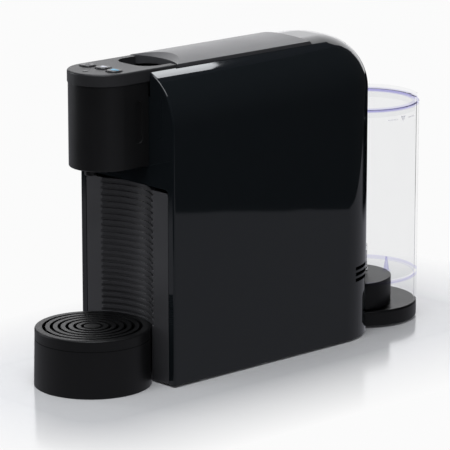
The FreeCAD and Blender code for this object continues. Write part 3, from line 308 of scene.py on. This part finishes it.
def clear_plastic(name, index, tinted):
    material, shader, place = start_finish(name)
    haze = noise(place, HAZE_SIZE)
    colour = blend_colours(haze, CLEAR_DARK, CLEAR_PALE)
    if tinted:
        colour = blend_colours(tinted_edges(place), colour, EDGE_VIOLET)
    roughness = haze * HAZE_ROUGHNESS + CLEAR_ROUGHNESS
    colour.feed(shader, "Base Color")
    roughness.feed(shader, "Roughness")
    shader.inputs["Transmission Weight"].default_value = 1.0
    shader.inputs["IOR"].default_value = index
    return material


TANK_FINISH = clear_plastic("tank_clear", index=1.006, tinted=True)
FITTING_FINISH = clear_plastic("fitting_clear", index=1.25, tinted=False)
print("clear finishes", TANK_FINISH.name, FITTING_FINISH.name)

# %% [markdown]
# Metals, seals, hoses and boards
#
# These pieces sit inside, but an opened lever or an empty tank bay shows them, so each has its own finish.
# The steel is brushed, which is noise stretched along one axis; the cast alloy keeps the noise even.

# %% Inner finishes
BRUSH_SIZE, BRUSH_SHADE, BRUSH_ROUGHNESS = 1.2 * MM, 0.2, 0.15
FLOW_ROUGHNESS, FLOW_HEIGHT = 0.1, 0.04 * MM


def metal(name, level, rough, stretch):
    material, shader, place = start_finish(name)
    stretched = place.add("ShaderNodeMapping", {}, {"Vector": place, "Scale": (1.0, stretch, 1.0)})
    brush = noise(stretched, BRUSH_SIZE, detail=3.0)
    colour = blend_colours(brush, grey(level * (1 - BRUSH_SHADE)), grey(level))
    roughness = brush * BRUSH_ROUGHNESS + rough
    colour.feed(shader, "Base Color")
    roughness.feed(shader, "Roughness")
    shader.inputs["Metallic"].default_value = 1.0
    return material


def tinted_plastic(name, dark, pale, rough, size):
    material, shader, place = start_finish(name)
    flow = noise(place, size, detail=3.0)
    colour = blend_colours(flow, dark, pale)
    roughness = flow * FLOW_ROUGHNESS + rough
    colour.feed(shader, "Base Color")
    roughness.feed(shader, "Roughness")
    set_bump(shader, flow, FLOW_HEIGHT)
    return material


STEEL_FINISH = metal("pin_steel", level=0.6, rough=0.25, stretch=0.1)
ALLOY_FINISH = metal("block_alloy", level=0.66, rough=0.38, stretch=1.0)
SEAL_FINISH = tinted_plastic("seal_red_brown", dark=(0.28, 0.06, 0.03, 1), pale=(0.36, 0.09, 0.05, 1),
                             rough=0.55, size=2 * MM)
HOSE_FINISH = tinted_plastic("hose_milky", dark=(0.66, 0.66, 0.63, 1), pale=(0.74, 0.74, 0.71, 1),
                             rough=0.4, size=4 * MM)
BOARD_FINISH = tinted_plastic("board_green", dark=(0.012, 0.09, 0.035, 1), pale=(0.02, 0.13, 0.05, 1),
                              rough=0.35, size=3 * MM)
print("finishes with the inner ones", len(bpy.data.materials))

# %% [markdown]
# Glowing marks
#
# The signs on the buttons are printed film with a small lamp behind it. Emission gives the glow, and a fine
# film grain keeps a sign from being one flat colour. A real lamp under each film would be another way, but
# emission is simpler. The fill line on the tank takes the same finish, with a faint painted glow where no
# lamp lights it.

# %% Glow finishes
FILM_GRAIN, FILM_ROUGHNESS, GRAIN_LIFT = 0.4 * MM, 0.35, 0.1


def glow(name, dim, bright, strength):
    material, shader, place = start_finish(name)
    film = noise(place, FILM_GRAIN)
    colour = blend_colours(film, dim, bright)
    roughness = film * GRAIN_LIFT + FILM_ROUGHNESS
    colour.feed(shader, "Base Color")
    colour.feed(shader, "Emission Color")
    roughness.feed(shader, "Roughness")
    shader.inputs["Emission Strength"].default_value = strength
    return material


BLUE_GLOW = glow("mark_blue", dim=(0.01, 0.12, 0.2, 1), bright=(0.03, 0.2, 0.32, 1), strength=0.5)
WHITE_GLOW = glow("mark_white", dim=(0.3, 0.31, 0.34, 1), bright=(0.4, 0.41, 0.45, 1), strength=0.2)
MARK_PRINT = glow("mark_grey", dim=(0.05, 0.05, 0.055, 1), bright=(0.07, 0.07, 0.075, 1), strength=0.02)
# The fill line has no lamp behind it, so its faint glow is painted light on grey print.
FILL_PRINT_AND_PAINTED_GLOW = glow("fill_line_grey_painted_glow", dim=(0.68, 0.68, 0.7, 1), bright=(0.74, 0.74, 0.76, 1), strength=0.05)
print("finishes with the glowing ones", len(bpy.data.materials))

# %% [markdown]
# From CAD solids to smooth pieces
#
# A CAD solid arrives as loose triangles with knife-sharp edges. Moulded edges are rounded and catch a thin
# line of light. So each visible solid is copied, its corners are merged, flat areas become single faces,
# and a small bevel rounds the edges. Weighted normals let big flat faces stay flat next to the fillets, or
# a mirror finish would show them bent. CAD could round every edge, but a bevel on a copy is lighter and
# leaves the solid as it is. The copy then stands for the solid and moves with the same body.

# %% Merged copies
MERGE_DISTANCE = 0.002 * MM
FLAT_ANGLE = math.radians(0.4)


def put_in_scene(name, data):
    piece = bpy.data.objects.new(name, data)
    bpy.context.scene.collection.objects.link(piece)
    return piece


def choose_edges(form, wanted):
    weight = form.edges.layers.float.new("bevel_weight_edge")
    for edge in form.edges:
        if all(wanted(vertex.co) for vertex in edge.verts):
            edge[weight] = 1.0


def merged_copy(node, outline):
    mesh = frame["nodes"][node].data.copy()
    form = bmesh.new()
    form.from_mesh(mesh)
    bmesh.ops.remove_doubles(form, verts=form.verts, dist=MERGE_DISTANCE)
    bmesh.ops.dissolve_limit(form, angle_limit=FLAT_ANGLE, verts=form.verts, edges=form.edges)
    if outline:
        choose_edges(form, outline)
    form.to_mesh(mesh)
    form.free()
    return put_in_scene(node + "_piece", mesh)


# %% [markdown]
# Rounding and smoothing
#
# An edge counts as sharp from about thirty degrees. Only the lever is stricter: smooth shading drew streaks
# like a comb on its thin front lip, so there every small fold keeps its own shade.

# %% Modifiers into plain meshes
def apply_modifiers(piece):
    graph = bpy.context.evaluated_depsgraph_get()
    mesh = bpy.data.meshes.new_from_object(piece.evaluated_get(graph))
    piece.modifiers.clear()
    piece.data = mesh


# %% Edges and faces
EDGE_ANGLE = math.radians(32)
SHARP_ANGLE = {"lever": math.radians(4)}
EDGE_STEPS, OUTLINE_STEPS = 2, 4
FLAT_FACE_WEIGHT = 100


def round_edges(piece, width, outline):
    bevel = piece.modifiers.new("rounding", "BEVEL")
    bevel.width = width
    bevel.segments = OUTLINE_STEPS if outline else EDGE_STEPS
    bevel.limit_method = "WEIGHT" if outline else "ANGLE"
    bevel.angle_limit = EDGE_ANGLE
    bevel.use_clamp_overlap = outline is None
    apply_modifiers(piece)


def smooth_faces(piece, sharp_angle):
    piece.data.shade_smooth()
    piece.data.set_sharp_from_angle(angle=sharp_angle)
    weighted = piece.modifiers.new("flat_faces_win", "WEIGHTED_NORMAL")
    weighted.weight = FLAT_FACE_WEIGHT
    weighted.keep_sharp = True
    apply_modifiers(piece)


# %% Softened pieces
def single_finish(piece, finish):
    mesh = piece.data
    mesh.materials.clear()
    mesh.materials.append(finish)
    mesh.polygons.foreach_set("material_index", [0] * len(mesh.polygons))


def softened(node, finish, width, outline=None):
    piece = merged_copy(node, outline)
    if width:
        round_edges(piece, width, outline)
    smooth_faces(piece, SHARP_ANGLE.get(node, EDGE_ANGLE))
    single_finish(piece, finish)
    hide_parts(node)
    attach(piece, BODY_OF[node])
    print(piece.name, len(piece.data.polygons))
    return piece


# %% [markdown]
# One bright line on the case
#
# The outline of the polished case, seen from the front, is a single thin bright line: straight up the sides
# and round the two shoulders. Only the edges on that outline get a bevel, and a wider one, so we pick them
# by place and give the bevel their weight.

# %% Case halves
OUTLINE_WIDTH = 1.6 * MM
SHOULDER_RADIUS = 43 * MM
NEAR = 0.05 * MM
CASE_LOW, CASE_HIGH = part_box("left_case")
CASE_HALF_WIDTH = -CASE_LOW[0]
ARC_X, ARC_Z = CASE_HALF_WIDTH - SHOULDER_RADIUS, CASE_HIGH[2] - SHOULDER_RADIUS


def on_front_outline(point):
    if point.y > CASE_LOW[1] + NEAR:
        return False
    if point.z < ARC_Z:
        return abs(point.x) > CASE_HALF_WIDTH - NEAR
    return math.hypot(abs(point.x) - ARC_X, point.z - ARC_Z) > SHOULDER_RADIUS - NEAR


for node in ("left_case", "right_case"):
    softened(node, CASE_FINISH, OUTLINE_WIDTH, on_front_outline)

# %% [markdown]
# The other visible pieces
#
# Each has a finish and a width for its edges, in millimetres; small turned pieces keep their edges as they
# are. The tank and its lid are hidden from mirror reflections, because through them the polished rear
# corner of the case would mirror a strip of bare white.

# %% Visible pieces
SOFTENED = {
    "head_shell": (HEAD_FINISH, 0.4), "control_cap": (CAP_FINISH, 0.3), "lever": (LEVER_FINISH, 0.5),
    "front_panel": (PANEL_FINISH, 0.3), "top_deck": (INSIDE_FINISH, 0.3), "spout": (HEAD_FINISH, 0.2),
    "drip_tray": (TRAY_FINISH, 0.5), "drip_grid": (TRAY_FINISH, 0.3), "tank_stand": (STAND_FINISH, 0.4),
    "button_left": (BUTTON_FINISH, 0.0), "button_middle": (BUTTON_FINISH, 0.0),
    "button_right": (BUTTON_FINISH, 0.0), "water_tank": (TANK_FINISH, 0.3), "tank_lid": (TANK_FINISH, 0.3),
    "valve_body": (FITTING_FINISH, 0.0), "filter_cage": (FITTING_FINISH, 0.0),
    "valve_poppet": (INSIDE_FINISH, 0.2), "valve_seal": (SEAL_FINISH, 0.0), "feet": (RUBBER_FINISH, 0.3),
}
for node, (finish, width) in SOFTENED.items():
    piece = softened(node, finish, width * MM)
    piece.visible_glossy = finish is not TANK_FINISH

# %% [markdown]
# Inner solids keep their shape
#
# Pumps, boards and hoses are right as they come, so they only take a finish. So does the lens of the status
# light, which is dark while the light is off.

# %% Finishes on inner nodes
INNER = {
    INSIDE_FINISH: ("base_plate", "capsule_bin", "coffee_trough", "brew_frame", "brew_carriage",
                    "flow_meter", "button_switches", "board_parts"),
    RUBBER_FINISH: ("cord_gland", "pump_mounts"),
    SEAL_FINISH: ("inlet_seal",),
    HOSE_FINISH: ("suction_hose", "feed_hose", "pressure_hose", "brew_hose"),
    STEEL_FINISH: ("case_screws", "lever_pin", "crank_pin", "thermostat"),
    ALLOY_FINISH: ("thermoblock", "injector"),
    PUMP_FINISH: ("pump",),
    BOARD_FINISH: ("button_board", "control_board"),
    BUTTON_FINISH: ("status_lens",),
}
for finish, nodes in INNER.items():
    for node in nodes:
        solid = frame["nodes"][node]
        if solid.material_slots:
            solid.material_slots[0].material = finish
        else:
            solid.data.materials.append(finish)
print("inner nodes", sum(len(nodes) for nodes in INNER.values()))

# %% [markdown]
# Outlines with a hair of thickness
#
# A printed sign is a flat outline. Drawing its points once low and once high, and closing the sides, gives
# it a hair of thickness, which is enough for film. A picture on the button would blur in a close view.

# %% Thin prisms
def add_prism(form, low_points, high_points):
    low = [form.verts.new(point) for point in low_points]
    high = [form.verts.new(point) for point in high_points]
    form.faces.new(low[::-1])
    form.faces.new(high)
    for index in range(len(low)):
        after = (index + 1) % len(low)
        form.faces.new((low[index], low[after], high[after], high[index]))


def form_to_piece(name, form, finish):
    bmesh.ops.recalc_face_normals(form, faces=form.faces)
    mesh = bpy.data.meshes.new(name)
    form.to_mesh(mesh)
    form.free()
    mesh.materials.append(finish)
    return put_in_scene(name, mesh)


# %% [markdown]
# Marks on the buttons
#
# Each button carries a small generic sign: a bowl with a handle on two of them, and an open ring with a
# stroke on the third. The outlines are drawn round the middle of a button and moved to its place.

# %% Outlines of the signs
BOWL_HALF_HEIGHT, BOWL_FOOT = 0.7, 0.6
HANDLE_SPOT, HANDLE_INNER, HANDLE_OUTER, HANDLE_SWEEP, HANDLE_STEPS = (0.95, 0.1), 0.28, 0.5, 80, 8
STROKE_HALF, STROKE_LOW, STROKE_HIGH = 0.22 * MM, 0.6 * MM, 2.6 * MM
SIGN_INNER, SIGN_OUTER, SIGN_FIRST, SIGN_LAST, SIGN_STEPS = 1.6 * MM, 2.1 * MM, 120, 420, 20


def ring_sector(centre, inner, outer, first, last, steps):
    x, y = centre
    angles = [math.radians(first + (last - first) * step / steps) for step in range(steps + 1)]
    outside = [(x + outer * math.cos(angle), y + outer * math.sin(angle)) for angle in angles]
    inside = [(x + inner * math.cos(angle), y + inner * math.sin(angle)) for angle in reversed(angles)]
    return outside + inside


def bowl_outlines(size):
    half, foot = size * BOWL_HALF_HEIGHT, size * BOWL_FOOT
    bowl = [(-size, half), (-foot, -half), (foot, -half), (size, half)]
    centre = (size * HANDLE_SPOT[0], size * HANDLE_SPOT[1])
    handle = ring_sector(centre, size * HANDLE_INNER, size * HANDLE_OUTER,
                         -HANDLE_SWEEP, HANDLE_SWEEP, HANDLE_STEPS)
    return [bowl, handle]


def stroke_outlines():
    stroke = [(-STROKE_HALF, STROKE_LOW), (STROKE_HALF, STROKE_LOW),
              (STROKE_HALF, STROKE_HIGH), (-STROKE_HALF, STROKE_HIGH)]
    ring = ring_sector((0.0, 0.0), SIGN_INNER, SIGN_OUTER, SIGN_FIRST, SIGN_LAST, SIGN_STEPS)
    return [ring, stroke]


# %% Signs on the buttons
MARK_HEIGHT = 0.12 * MM
SMALL_BOWL, LARGE_BOWL = 2.4 * MM, 3.2 * MM


def button_top(node):
    low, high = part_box(node)
    return (low[0] + high[0]) / 2, (low[1] + high[1]) / 2, high[2]


def flat_sign(node, outlines, finish):
    x, y, top = button_top(node)
    form = bmesh.new()
    for outline in outlines:
        low = [(x + across, y + along, top) for across, along in outline]
        high = [(x + across, y + along, top + MARK_HEIGHT) for across, along in outline]
        add_prism(form, low, high)
    sign = form_to_piece(node + "_mark", form, finish)
    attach(sign, BODY_OF[node])
    print(sign.name, "at height", round(top, 4))


flat_sign("button_middle", bowl_outlines(SMALL_BOWL), WHITE_GLOW)
flat_sign("button_right", bowl_outlines(LARGE_BOWL), BLUE_GLOW)
flat_sign("button_left", stroke_outlines(), MARK_PRINT)

# %% [markdown]
# Trees of Geometry Nodes
#
# What repeats on this machine is made by Geometry Nodes. Each tree has named inputs and ends in the same two
# nodes: Realize Instances, because an export drops instances, and Set Material. A modifier wants its values
# by the identifier of an input, not by its name, so one helper looks that up.

# %% Helpers for trees
def new_tree(name, inputs):
    tree = bpy.data.node_groups.new(name, "GeometryNodeTree")
    for label, kind in inputs.items():
        tree.interface.new_socket(label, in_out="INPUT", socket_type="NodeSocket" + kind)
    tree.interface.new_socket("Mesh", in_out="OUTPUT", socket_type="NodeSocketGeometry")
    given = tree.nodes.new("NodeGroupInput").outputs
    return tree, [Socket(tree, given[label]) for label in inputs]


def end_tree(copies, finish):
    real = copies.add("GeometryNodeRealizeInstances", {}, {0: copies})
    painted = real.add("GeometryNodeSetMaterial", {}, {"Geometry": real, "Material": finish})
    painted.feed(painted.tree.nodes.new("NodeGroupOutput"), 0)


def repeat_on(points, shape):
    return points.add("GeometryNodeInstanceOnPoints", {}, {"Points": points, "Instance": shape})


def run_tree(piece, tree, values, finish):
    modifier = piece.modifiers.new(tree.name, "NODES")
    modifier.node_group = tree
    for item in tree.interface.items_tree:
        if item.name in values:
            modifier[item.identifier] = values[item.name]
    apply_modifiers(piece)
    single_finish(piece, finish)


# %% [markdown]
# Dark rings round the buttons
#
# A dark ring of painted shade stands for the shaded gap round each button and sets the button off from the
# grey cap. The three rings are one shape on three points: a flat ring is made once, and the tree repeats it
# on the points of a start mesh. Three rings made by hand would have to be changed three times.

# %% Button rings
RING_INNER, RING_OUTER, RING_RISE, RING_STEPS = 6.1 * MM, 6.9 * MM, 0.12 * MM, 40
# The ring finish is painted shade: a dark ring laid where the gap round each button is in shade.
GAP_SHADE_FINISH = grained_plastic("ring_gap_shade_black", level=0.006, rough=0.6, specular=0.2,
                              grain_size=0.6 * MM, grain_height=0.01 * MM)


def circle_of_points(form, radius, height):
    turns = [2 * math.pi * step / RING_STEPS for step in range(RING_STEPS)]
    return [form.verts.new((radius * math.cos(turn), radius * math.sin(turn), height)) for turn in turns]


def flat_ring():
    form = bmesh.new()
    section = ((RING_INNER, 0.0), (RING_OUTER, 0.0), (RING_OUTER, RING_RISE), (RING_INNER, RING_RISE))
    rows = [circle_of_points(form, radius, height) for radius, height in section]
    for row, after in zip(rows, rows[1:] + rows[:1]):
        for step in range(RING_STEPS):
            beside = (step + 1) % RING_STEPS
            form.faces.new((row[step], row[beside], after[beside], after[step]))
    return form_to_piece("ring_pattern", form, GAP_SHADE_FINISH)


def repeat_tree():
    tree, (points, pattern) = new_tree("repeat_on_points", {"Points": "Geometry", "Pattern": "Object"})
    shape = pattern.add("GeometryNodeObjectInfo", {}, {"Object": pattern}, "Geometry")
    end_tree(repeat_on(points, shape), GAP_SHADE_FINISH)
    return tree


def button_rings():
    cap_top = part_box("control_cap")[1][2]
    spots = [button_top(node)[:2] for node in ("button_left", "button_middle", "button_right")]
    points = bpy.data.meshes.new("ring_points")
    points.from_pydata([(x, y, cap_top) for x, y in spots], [], [])
    piece = put_in_scene("button_rings", points)
    pattern = flat_ring()
    run_tree(piece, repeat_tree(), {"Pattern": pattern}, GAP_SHADE_FINISH)
    bpy.data.objects.remove(pattern)
    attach(piece, BODY_OF["control_cap"])
    print("button rings, faces", len(piece.data.polygons))


button_rings()

# %% [markdown]
# Fill line on the tank
#
# A dash, a triangle and a dash say how far to fill. The sign is printed on the round wall, so its outline
# is drawn flat, in arc length and height, and then wrapped round the tank's axis. A Shrinkwrap modifier
# could press it on, but for a round wall a formula is exact.

# %% Wrapped fill line
FILL_HEIGHT = TANK_HIGH[2] - 9.0 * MM
FILL_TURN = math.radians(0.5)
PRINT_INNER, PRINT_OUTER = TANK_RADIUS - 0.13 * MM, TANK_RADIUS - 0.03 * MM
DASH_LENGTH, DASH_HALF, DASH_GAP = 9.5 * MM, 0.4 * MM, 6.5 * MM
TRIANGLE_HALF_WIDTH, TRIANGLE_HALF_HEIGHT = 3.0 * MM, 2.4 * MM


def dash_outline(first):
    last = first + DASH_LENGTH
    return [(first, -DASH_HALF), (last, -DASH_HALF), (last, DASH_HALF), (first, DASH_HALF)]


def triangle_outline():
    return [(-TRIANGLE_HALF_WIDTH, TRIANGLE_HALF_HEIGHT), (0.0, -TRIANGLE_HALF_HEIGHT),
            (TRIANGLE_HALF_WIDTH, TRIANGLE_HALF_HEIGHT)]


def on_wall(along, up, reach):
    turn = FILL_TURN + along / TANK_RADIUS
    return TANK_AXIS[0] + reach * math.cos(turn), TANK_AXIS[1] + reach * math.sin(turn), FILL_HEIGHT + up


def fill_line():
    form = bmesh.new()
    for outline in (dash_outline(-DASH_GAP - DASH_LENGTH), dash_outline(DASH_GAP), triangle_outline()):
        inner = [on_wall(along, up, PRINT_INNER) for along, up in outline]
        outer = [on_wall(along, up, PRINT_OUTER) for along, up in outline]
        add_prism(form, inner, outer)
    sign = form_to_piece("fill_line", form, FILL_PRINT_AND_PAINTED_GLOW)
    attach(sign, "tank")
    print("fill line at", round(FILL_HEIGHT, 4))


fill_line()

# %% [markdown]
# Strainer in the filter cage
#
# Inside the clear cage sits a fine strainer: hoops stacked at even steps, held by upright bars. Both repeat
# by a rule, so the tree puts hoops on a line of points and bars on a circle of points. Array modifiers could
# stack them too, but a tree keeps all the sizes together as named inputs.

# %% Strainer tree
STRAINER_INPUTS = {"Radius": "Float", "Wire": "Float", "Height": "Float", "Hoops": "Int", "Bars": "Int"}
HOOP_STEPS, WIRE_STEPS = 32, 6


def stacked_hoops(radius, wire, height, count):
    step = height.add("ShaderNodeCombineXYZ", {}, {"Z": height.maths("DIVIDE", height, count)})
    levels = height.add("GeometryNodeMeshLine", {}, {"Count": count, "Offset": step})
    path = radius.add("GeometryNodeCurvePrimitiveCircle", {}, {"Resolution": HOOP_STEPS, "Radius": radius})
    section = wire.add("GeometryNodeCurvePrimitiveCircle", {}, {"Resolution": WIRE_STEPS, "Radius": wire})
    hoop = path.add("GeometryNodeCurveToMesh", {}, {"Curve": path, "Profile Curve": section})
    return repeat_on(levels, hoop)


def upright_bars(radius, wire, height, count):
    spots = radius.add("GeometryNodeMeshCircle", {}, {"Vertices": count, "Radius": radius})
    sizes = {"Vertices": WIRE_STEPS, "Radius": wire, "Depth": height}
    bar = wire.add("GeometryNodeMeshCylinder", {}, sizes)
    rise = height.add("ShaderNodeCombineXYZ", {}, {"Z": height * 0.5})
    raised = bar.add("GeometryNodeTransform", {}, {"Geometry": bar, "Translation": rise})
    return repeat_on(spots, raised)


def strainer_tree():
    tree, (radius, wire, height, hoop_count, bar_count) = new_tree("strainer", STRAINER_INPUTS)
    hoops = stacked_hoops(radius, wire, height, hoop_count)
    bars = upright_bars(radius, wire, height, bar_count)
    both = hoops.add("GeometryNodeJoinGeometry", {}, {0: hoops})
    bars.feed(both.socket.node, 0)
    end_tree(both, FITTING_FINISH)
    return tree


# %% Strainer
STRAINER_INSET, STRAINER_HEADROOM, STRAINER_RISE = 1.8 * MM, 3.4 * MM, 0.6 * MM
WIRE_RADIUS, HOOP_COUNT, BAR_COUNT = 0.25 * MM, 15, 24


def strainer():
    low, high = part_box("filter_cage")
    radius = (high[0] - low[0]) / 2 - STRAINER_INSET
    height = high[2] - low[2] - STRAINER_HEADROOM
    sizes = {"Radius": radius, "Wire": WIRE_RADIUS, "Height": height, "Hoops": HOOP_COUNT, "Bars": BAR_COUNT}
    piece = put_in_scene("strainer", bpy.data.meshes.new("strainer_start"))
    run_tree(piece, strainer_tree(), sizes, FITTING_FINISH)
    centre = Vector(((low[0] + high[0]) / 2, (low[1] + high[1]) / 2, low[2] + STRAINER_RISE))
    for vertex in piece.data.vertices:
        vertex.co += centre
    piece.data.shade_smooth()
    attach(piece, "tank")
    print("strainer faces", len(piece.data.polygons))


strainer()

# %% [markdown]
# What a ray may see
#
# A studio looks different to the camera and to a mirror: the camera sees a white sheet, while polished black
# mirrors a darker room. Blender tells a shader which kind of ray has hit it, so the floor and the world can
# answer a mirror ray apart. A ray that has passed through the clear tank doesn't count as one.

# %% Helpers for the studio
def light_path(start, kind):
    return start.add("ShaderNodeLightPath", output=kind)


def mirror_rays(start):
    return light_path(start, "Is Glossy Ray") * (1.0 - light_path(start, "Is Transmission Ray"))


def ramp(value, first, last):
    return ((value - first) * (1 / (last - first))).clamp()


def mix_shaders(factor, first, second):
    return factor.add("ShaderNodeMixShader", {}, {0: factor, 1: first, 2: second})


def plain_light(start, colour):
    return start.add("ShaderNodeEmission", {}, {"Color": colour, "Strength": 1.0})


# %% [markdown]
# Floor
#
# The machine stands on a pale, slightly shiny sheet. Near the machine the floor takes real light and shadow;
# further away it fades to plain white, so the picture has no horizon. A curved backdrop would hide it too,
# but a fade needs one flat sheet only. Mirrors see a grey sheet that ends in front of the machine and, on
# its far side, behind it, as in a studio where only the table is lit.

# %% Floor paper
FIBRE_SIZE, FIBRE_ROUGHNESS, PAPER_ROUGHNESS = 10 * MM, 0.04, 0.12
PAPER_DARK, PAPER_PALE, PAPER_WHITE = 0.45, 0.47, 0.965
FADE_NEAR, FADE_FAR = 0.03, 0.14
MIRRORED_GREY, MIRRORED_TINT = 0.36, 0.1
DIM_SIDE, DIM_FRONT, DIM_REAR, DIM_BLEND = 0.0, -0.54, 0.55, 0.08


def away_from_machine(across, along):
    gap_across = (across.maths("ABSOLUTE", across) - CAD_BOX[1][0]).clamp()
    gap_along = (along.maths("ABSOLUTE", along) - CAD_BOX[1][1]).clamp()
    return across.maths("SQRT", gap_across * gap_across + gap_along * gap_along)


def mirrored_sheet(across, along):
    near_side = ramp(across, DIM_SIDE, DIM_SIDE + DIM_BLEND)
    not_behind = ramp(along, DIM_REAR, DIM_REAR - DIM_BLEND)
    not_before = ramp(along, DIM_FRONT, DIM_FRONT + DIM_BLEND)
    level = (near_side + not_behind).clamp() * not_before
    return plain_light(level, blend_colours(level, grey(0.0), grey(MIRRORED_GREY, MIRRORED_TINT)))


def floor_paper():
    material, shader, place = start_finish("floor_paper")
    fibre = noise(place, FIBRE_SIZE)
    colour = blend_colours(fibre, grey(PAPER_DARK), grey(PAPER_PALE))
    roughness = fibre * FIBRE_ROUGHNESS + PAPER_ROUGHNESS
    colour.feed(shader, "Base Color")
    roughness.feed(shader, "Roughness")
    across = axis_value(place, "X")
    along = axis_value(place, "Y")
    fade = ramp(away_from_machine(across, along), FADE_NEAR, FADE_FAR)
    seen = light_path(place, "Is Camera Ray") + light_path(place, "Is Transmission Ray")
    tree = material.node_tree
    lit = Socket(tree, shader.outputs["BSDF"])
    open_floor = mix_shaders(fade * seen.clamp(), lit, plain_light(place, grey(PAPER_WHITE)))
    mixed = mix_shaders(mirror_rays(place), open_floor, mirrored_sheet(across, along))
    mixed.feed(tree.nodes["Material Output"], "Surface")
    return material


# %% Floor sheet
FLOOR_REACH, FLOOR_HEIGHT = 12.0, -0.2 * MM
CORNER_SIGNS = ((-1, -1), (1, -1), (1, 1), (-1, 1))


def flat_sheet(name, corners, material):
    mesh = bpy.data.meshes.new(name)
    mesh.from_pydata(corners, [], [list(range(len(corners)))])
    mesh.materials.append(material)
    sheet = put_in_scene(name, mesh)
    return sheet


floor_corners = [(x * FLOOR_REACH, y * FLOOR_REACH, FLOOR_HEIGHT) for x, y in CORNER_SIGNS]
flat_sheet("floor", floor_corners, floor_paper())
print("floor reaches", FLOOR_REACH)

# %% [markdown]
# A black card for the gloss
#
# Polished black shows whatever stands around it. In the studio a dark card beside the machine darkens the
# upper part of the side and leaves a brighter band below, where the floor is reflected. Our card is seen by
# reflections only.

# %% Reflection card
WEAVE_SIZE, WEAVE_ROUGHNESS, CARD_ROUGHNESS = 10 * MM, 0.1, 0.8
CARD_DARK, CARD_PALE = 0.012, 0.018
CARD_FRONT, CARD_REAR, CARD_TOP = (0.962, -0.35), (-0.30, 1.283), 1.3
OTHER_RAYS = ("camera", "diffuse", "transmission", "volume_scatter", "shadow")


def mirror_card(name, first, last, top, material):
    card = flat_sheet(name, [(*first, 0), (*last, 0), (*last, top), (*first, top)], material)
    for kind in OTHER_RAYS:
        setattr(card, "visible_" + kind, False)
    print(name, "from", first, "to", last)


def dark_card():
    material, shader, place = start_finish("card_black")
    weave = noise(place, WEAVE_SIZE)
    colour = blend_colours(weave, grey(CARD_DARK), grey(CARD_PALE))
    roughness = weave * WEAVE_ROUGHNESS + CARD_ROUGHNESS
    colour.feed(shader, "Base Color")
    roughness.feed(shader, "Roughness")
    return material


mirror_card("reflection_card", CARD_FRONT, CARD_REAR, CARD_TOP, dark_card())

# %% [markdown]
# A white card behind
#
# The floor and the lever are seen at a shallow angle, so they mirror what stands behind the machine. A white
# card there makes the lever pale and lets the floor show a soft mirror image of the black machine.

# %% White card
BACK_WEAVE, BACK_DARK, BACK_PALE = 0.2, 0.93, 0.98
BACK_LEFT, BACK_RIGHT, BACK_TOP = (-3.29, 0.87), (-1.11, 3.21), 2.8


def white_card():
    material, shader, place = start_finish("card_white")
    colour = blend_colours(noise(place, BACK_WEAVE), grey(BACK_DARK), grey(BACK_PALE))
    colour.feed(shader, "Base Color")
    colour.feed(shader, "Emission Color")
    shader.inputs["Emission Strength"].default_value = 1.0
    return material


mirror_card("white_card", BACK_LEFT, BACK_RIGHT, BACK_TOP, white_card())

# %% [markdown]
# Lamps
#
# One small soft box hangs where the shoulder of the case mirrors it as a short bright strip. A second one
# further forward draws the thin line on the front edge, and a tall strip on the left the soft line on the
# head.

# %% Soft boxes
COOL_WHITE = (0.94, 0.97, 1.0)
BOX_HEIGHT = 1.0
SHOULDER_SPOT, EDGE_SPOT = (-0.261, 0.563), (0.30, -0.40)
STRIP_PLACE, STRIP_AIM = (-1.25, -0.75, 0.45), (0.0, -0.12, 0.15)


def soft_box(name, place, aim, width, length, power, turn=0.0):
    lamp = bpy.data.lights.new(name, "AREA")
    lamp.shape = "RECTANGLE"
    lamp.size = width
    lamp.size_y = length
    lamp.energy = power
    lamp.color = COOL_WHITE
    box = put_in_scene(name, lamp)
    box.location = place
    box.rotation_euler = (Vector(aim) - Vector(place)).to_track_quat("-Z", "Y").to_euler()
    box.rotation_euler.z += math.radians(turn)
    print(name, "at", place)


soft_box("shoulder_box", (*SHOULDER_SPOT, BOX_HEIGHT), (*SHOULDER_SPOT, 0.0),
         width=0.27, length=0.22, power=1.45, turn=-16.7)
soft_box("edge_box", (*EDGE_SPOT, BOX_HEIGHT), (*EDGE_SPOT, 0.0), width=0.8, length=0.4, power=9.5)
soft_box("left_strip", STRIP_PLACE, STRIP_AIM, width=0.25, length=0.7, power=4.0)

# %% [markdown]
# World
#
# The world fills the rest evenly, but mirrors see it dim, like a dark room.

# %% Studio world
OPEN_SKY, OPEN_TINT = 0.8, 0.05
MIRRORED_SKY, MIRRORED_SKY_TINT = 0.055, 0.25

world = bpy.data.worlds.new("studio")
bpy.context.scene.world = world
world.use_nodes = True
only_mirrors = mirror_rays(Socket(world.node_tree))
sky = blend_colours(only_mirrors, grey(OPEN_SKY, OPEN_TINT), grey(MIRRORED_SKY, MIRRORED_SKY_TINT))
sky.feed(world.node_tree.nodes["Background"], "Color")
print("world", world.name)

# %% [markdown]
# Camera
#
# The camera was fitted to the edges of the case, the head, the tray and the tank in the photograph. It
# stands far off with a long lens, so the machine shows little perspective.

# %% Photo camera
CAMERA_PLACE = (1.785985, -1.659896, 0.703258)
CAMERA_TURN, CAMERA_TILT = 47.231, 13.873
LENS_LENGTH, SENSOR_WIDTH, FAR_LIMIT = 251.25, 36.0, 50.0

camera = bpy.data.cameras.new("photo_camera")
camera.lens = LENS_LENGTH
camera.sensor_width = SENSOR_WIDTH
camera.clip_end = FAR_LIMIT
viewer = put_in_scene("photo_camera", camera)
viewer.location = CAMERA_PLACE
viewer.rotation_euler = (math.radians(90 - CAMERA_TILT), 0.0, math.radians(CAMERA_TURN))
bpy.context.scene.camera = viewer
bpy.context.scene.view_settings.view_transform = "Standard"
print("camera at", CAMERA_PLACE)
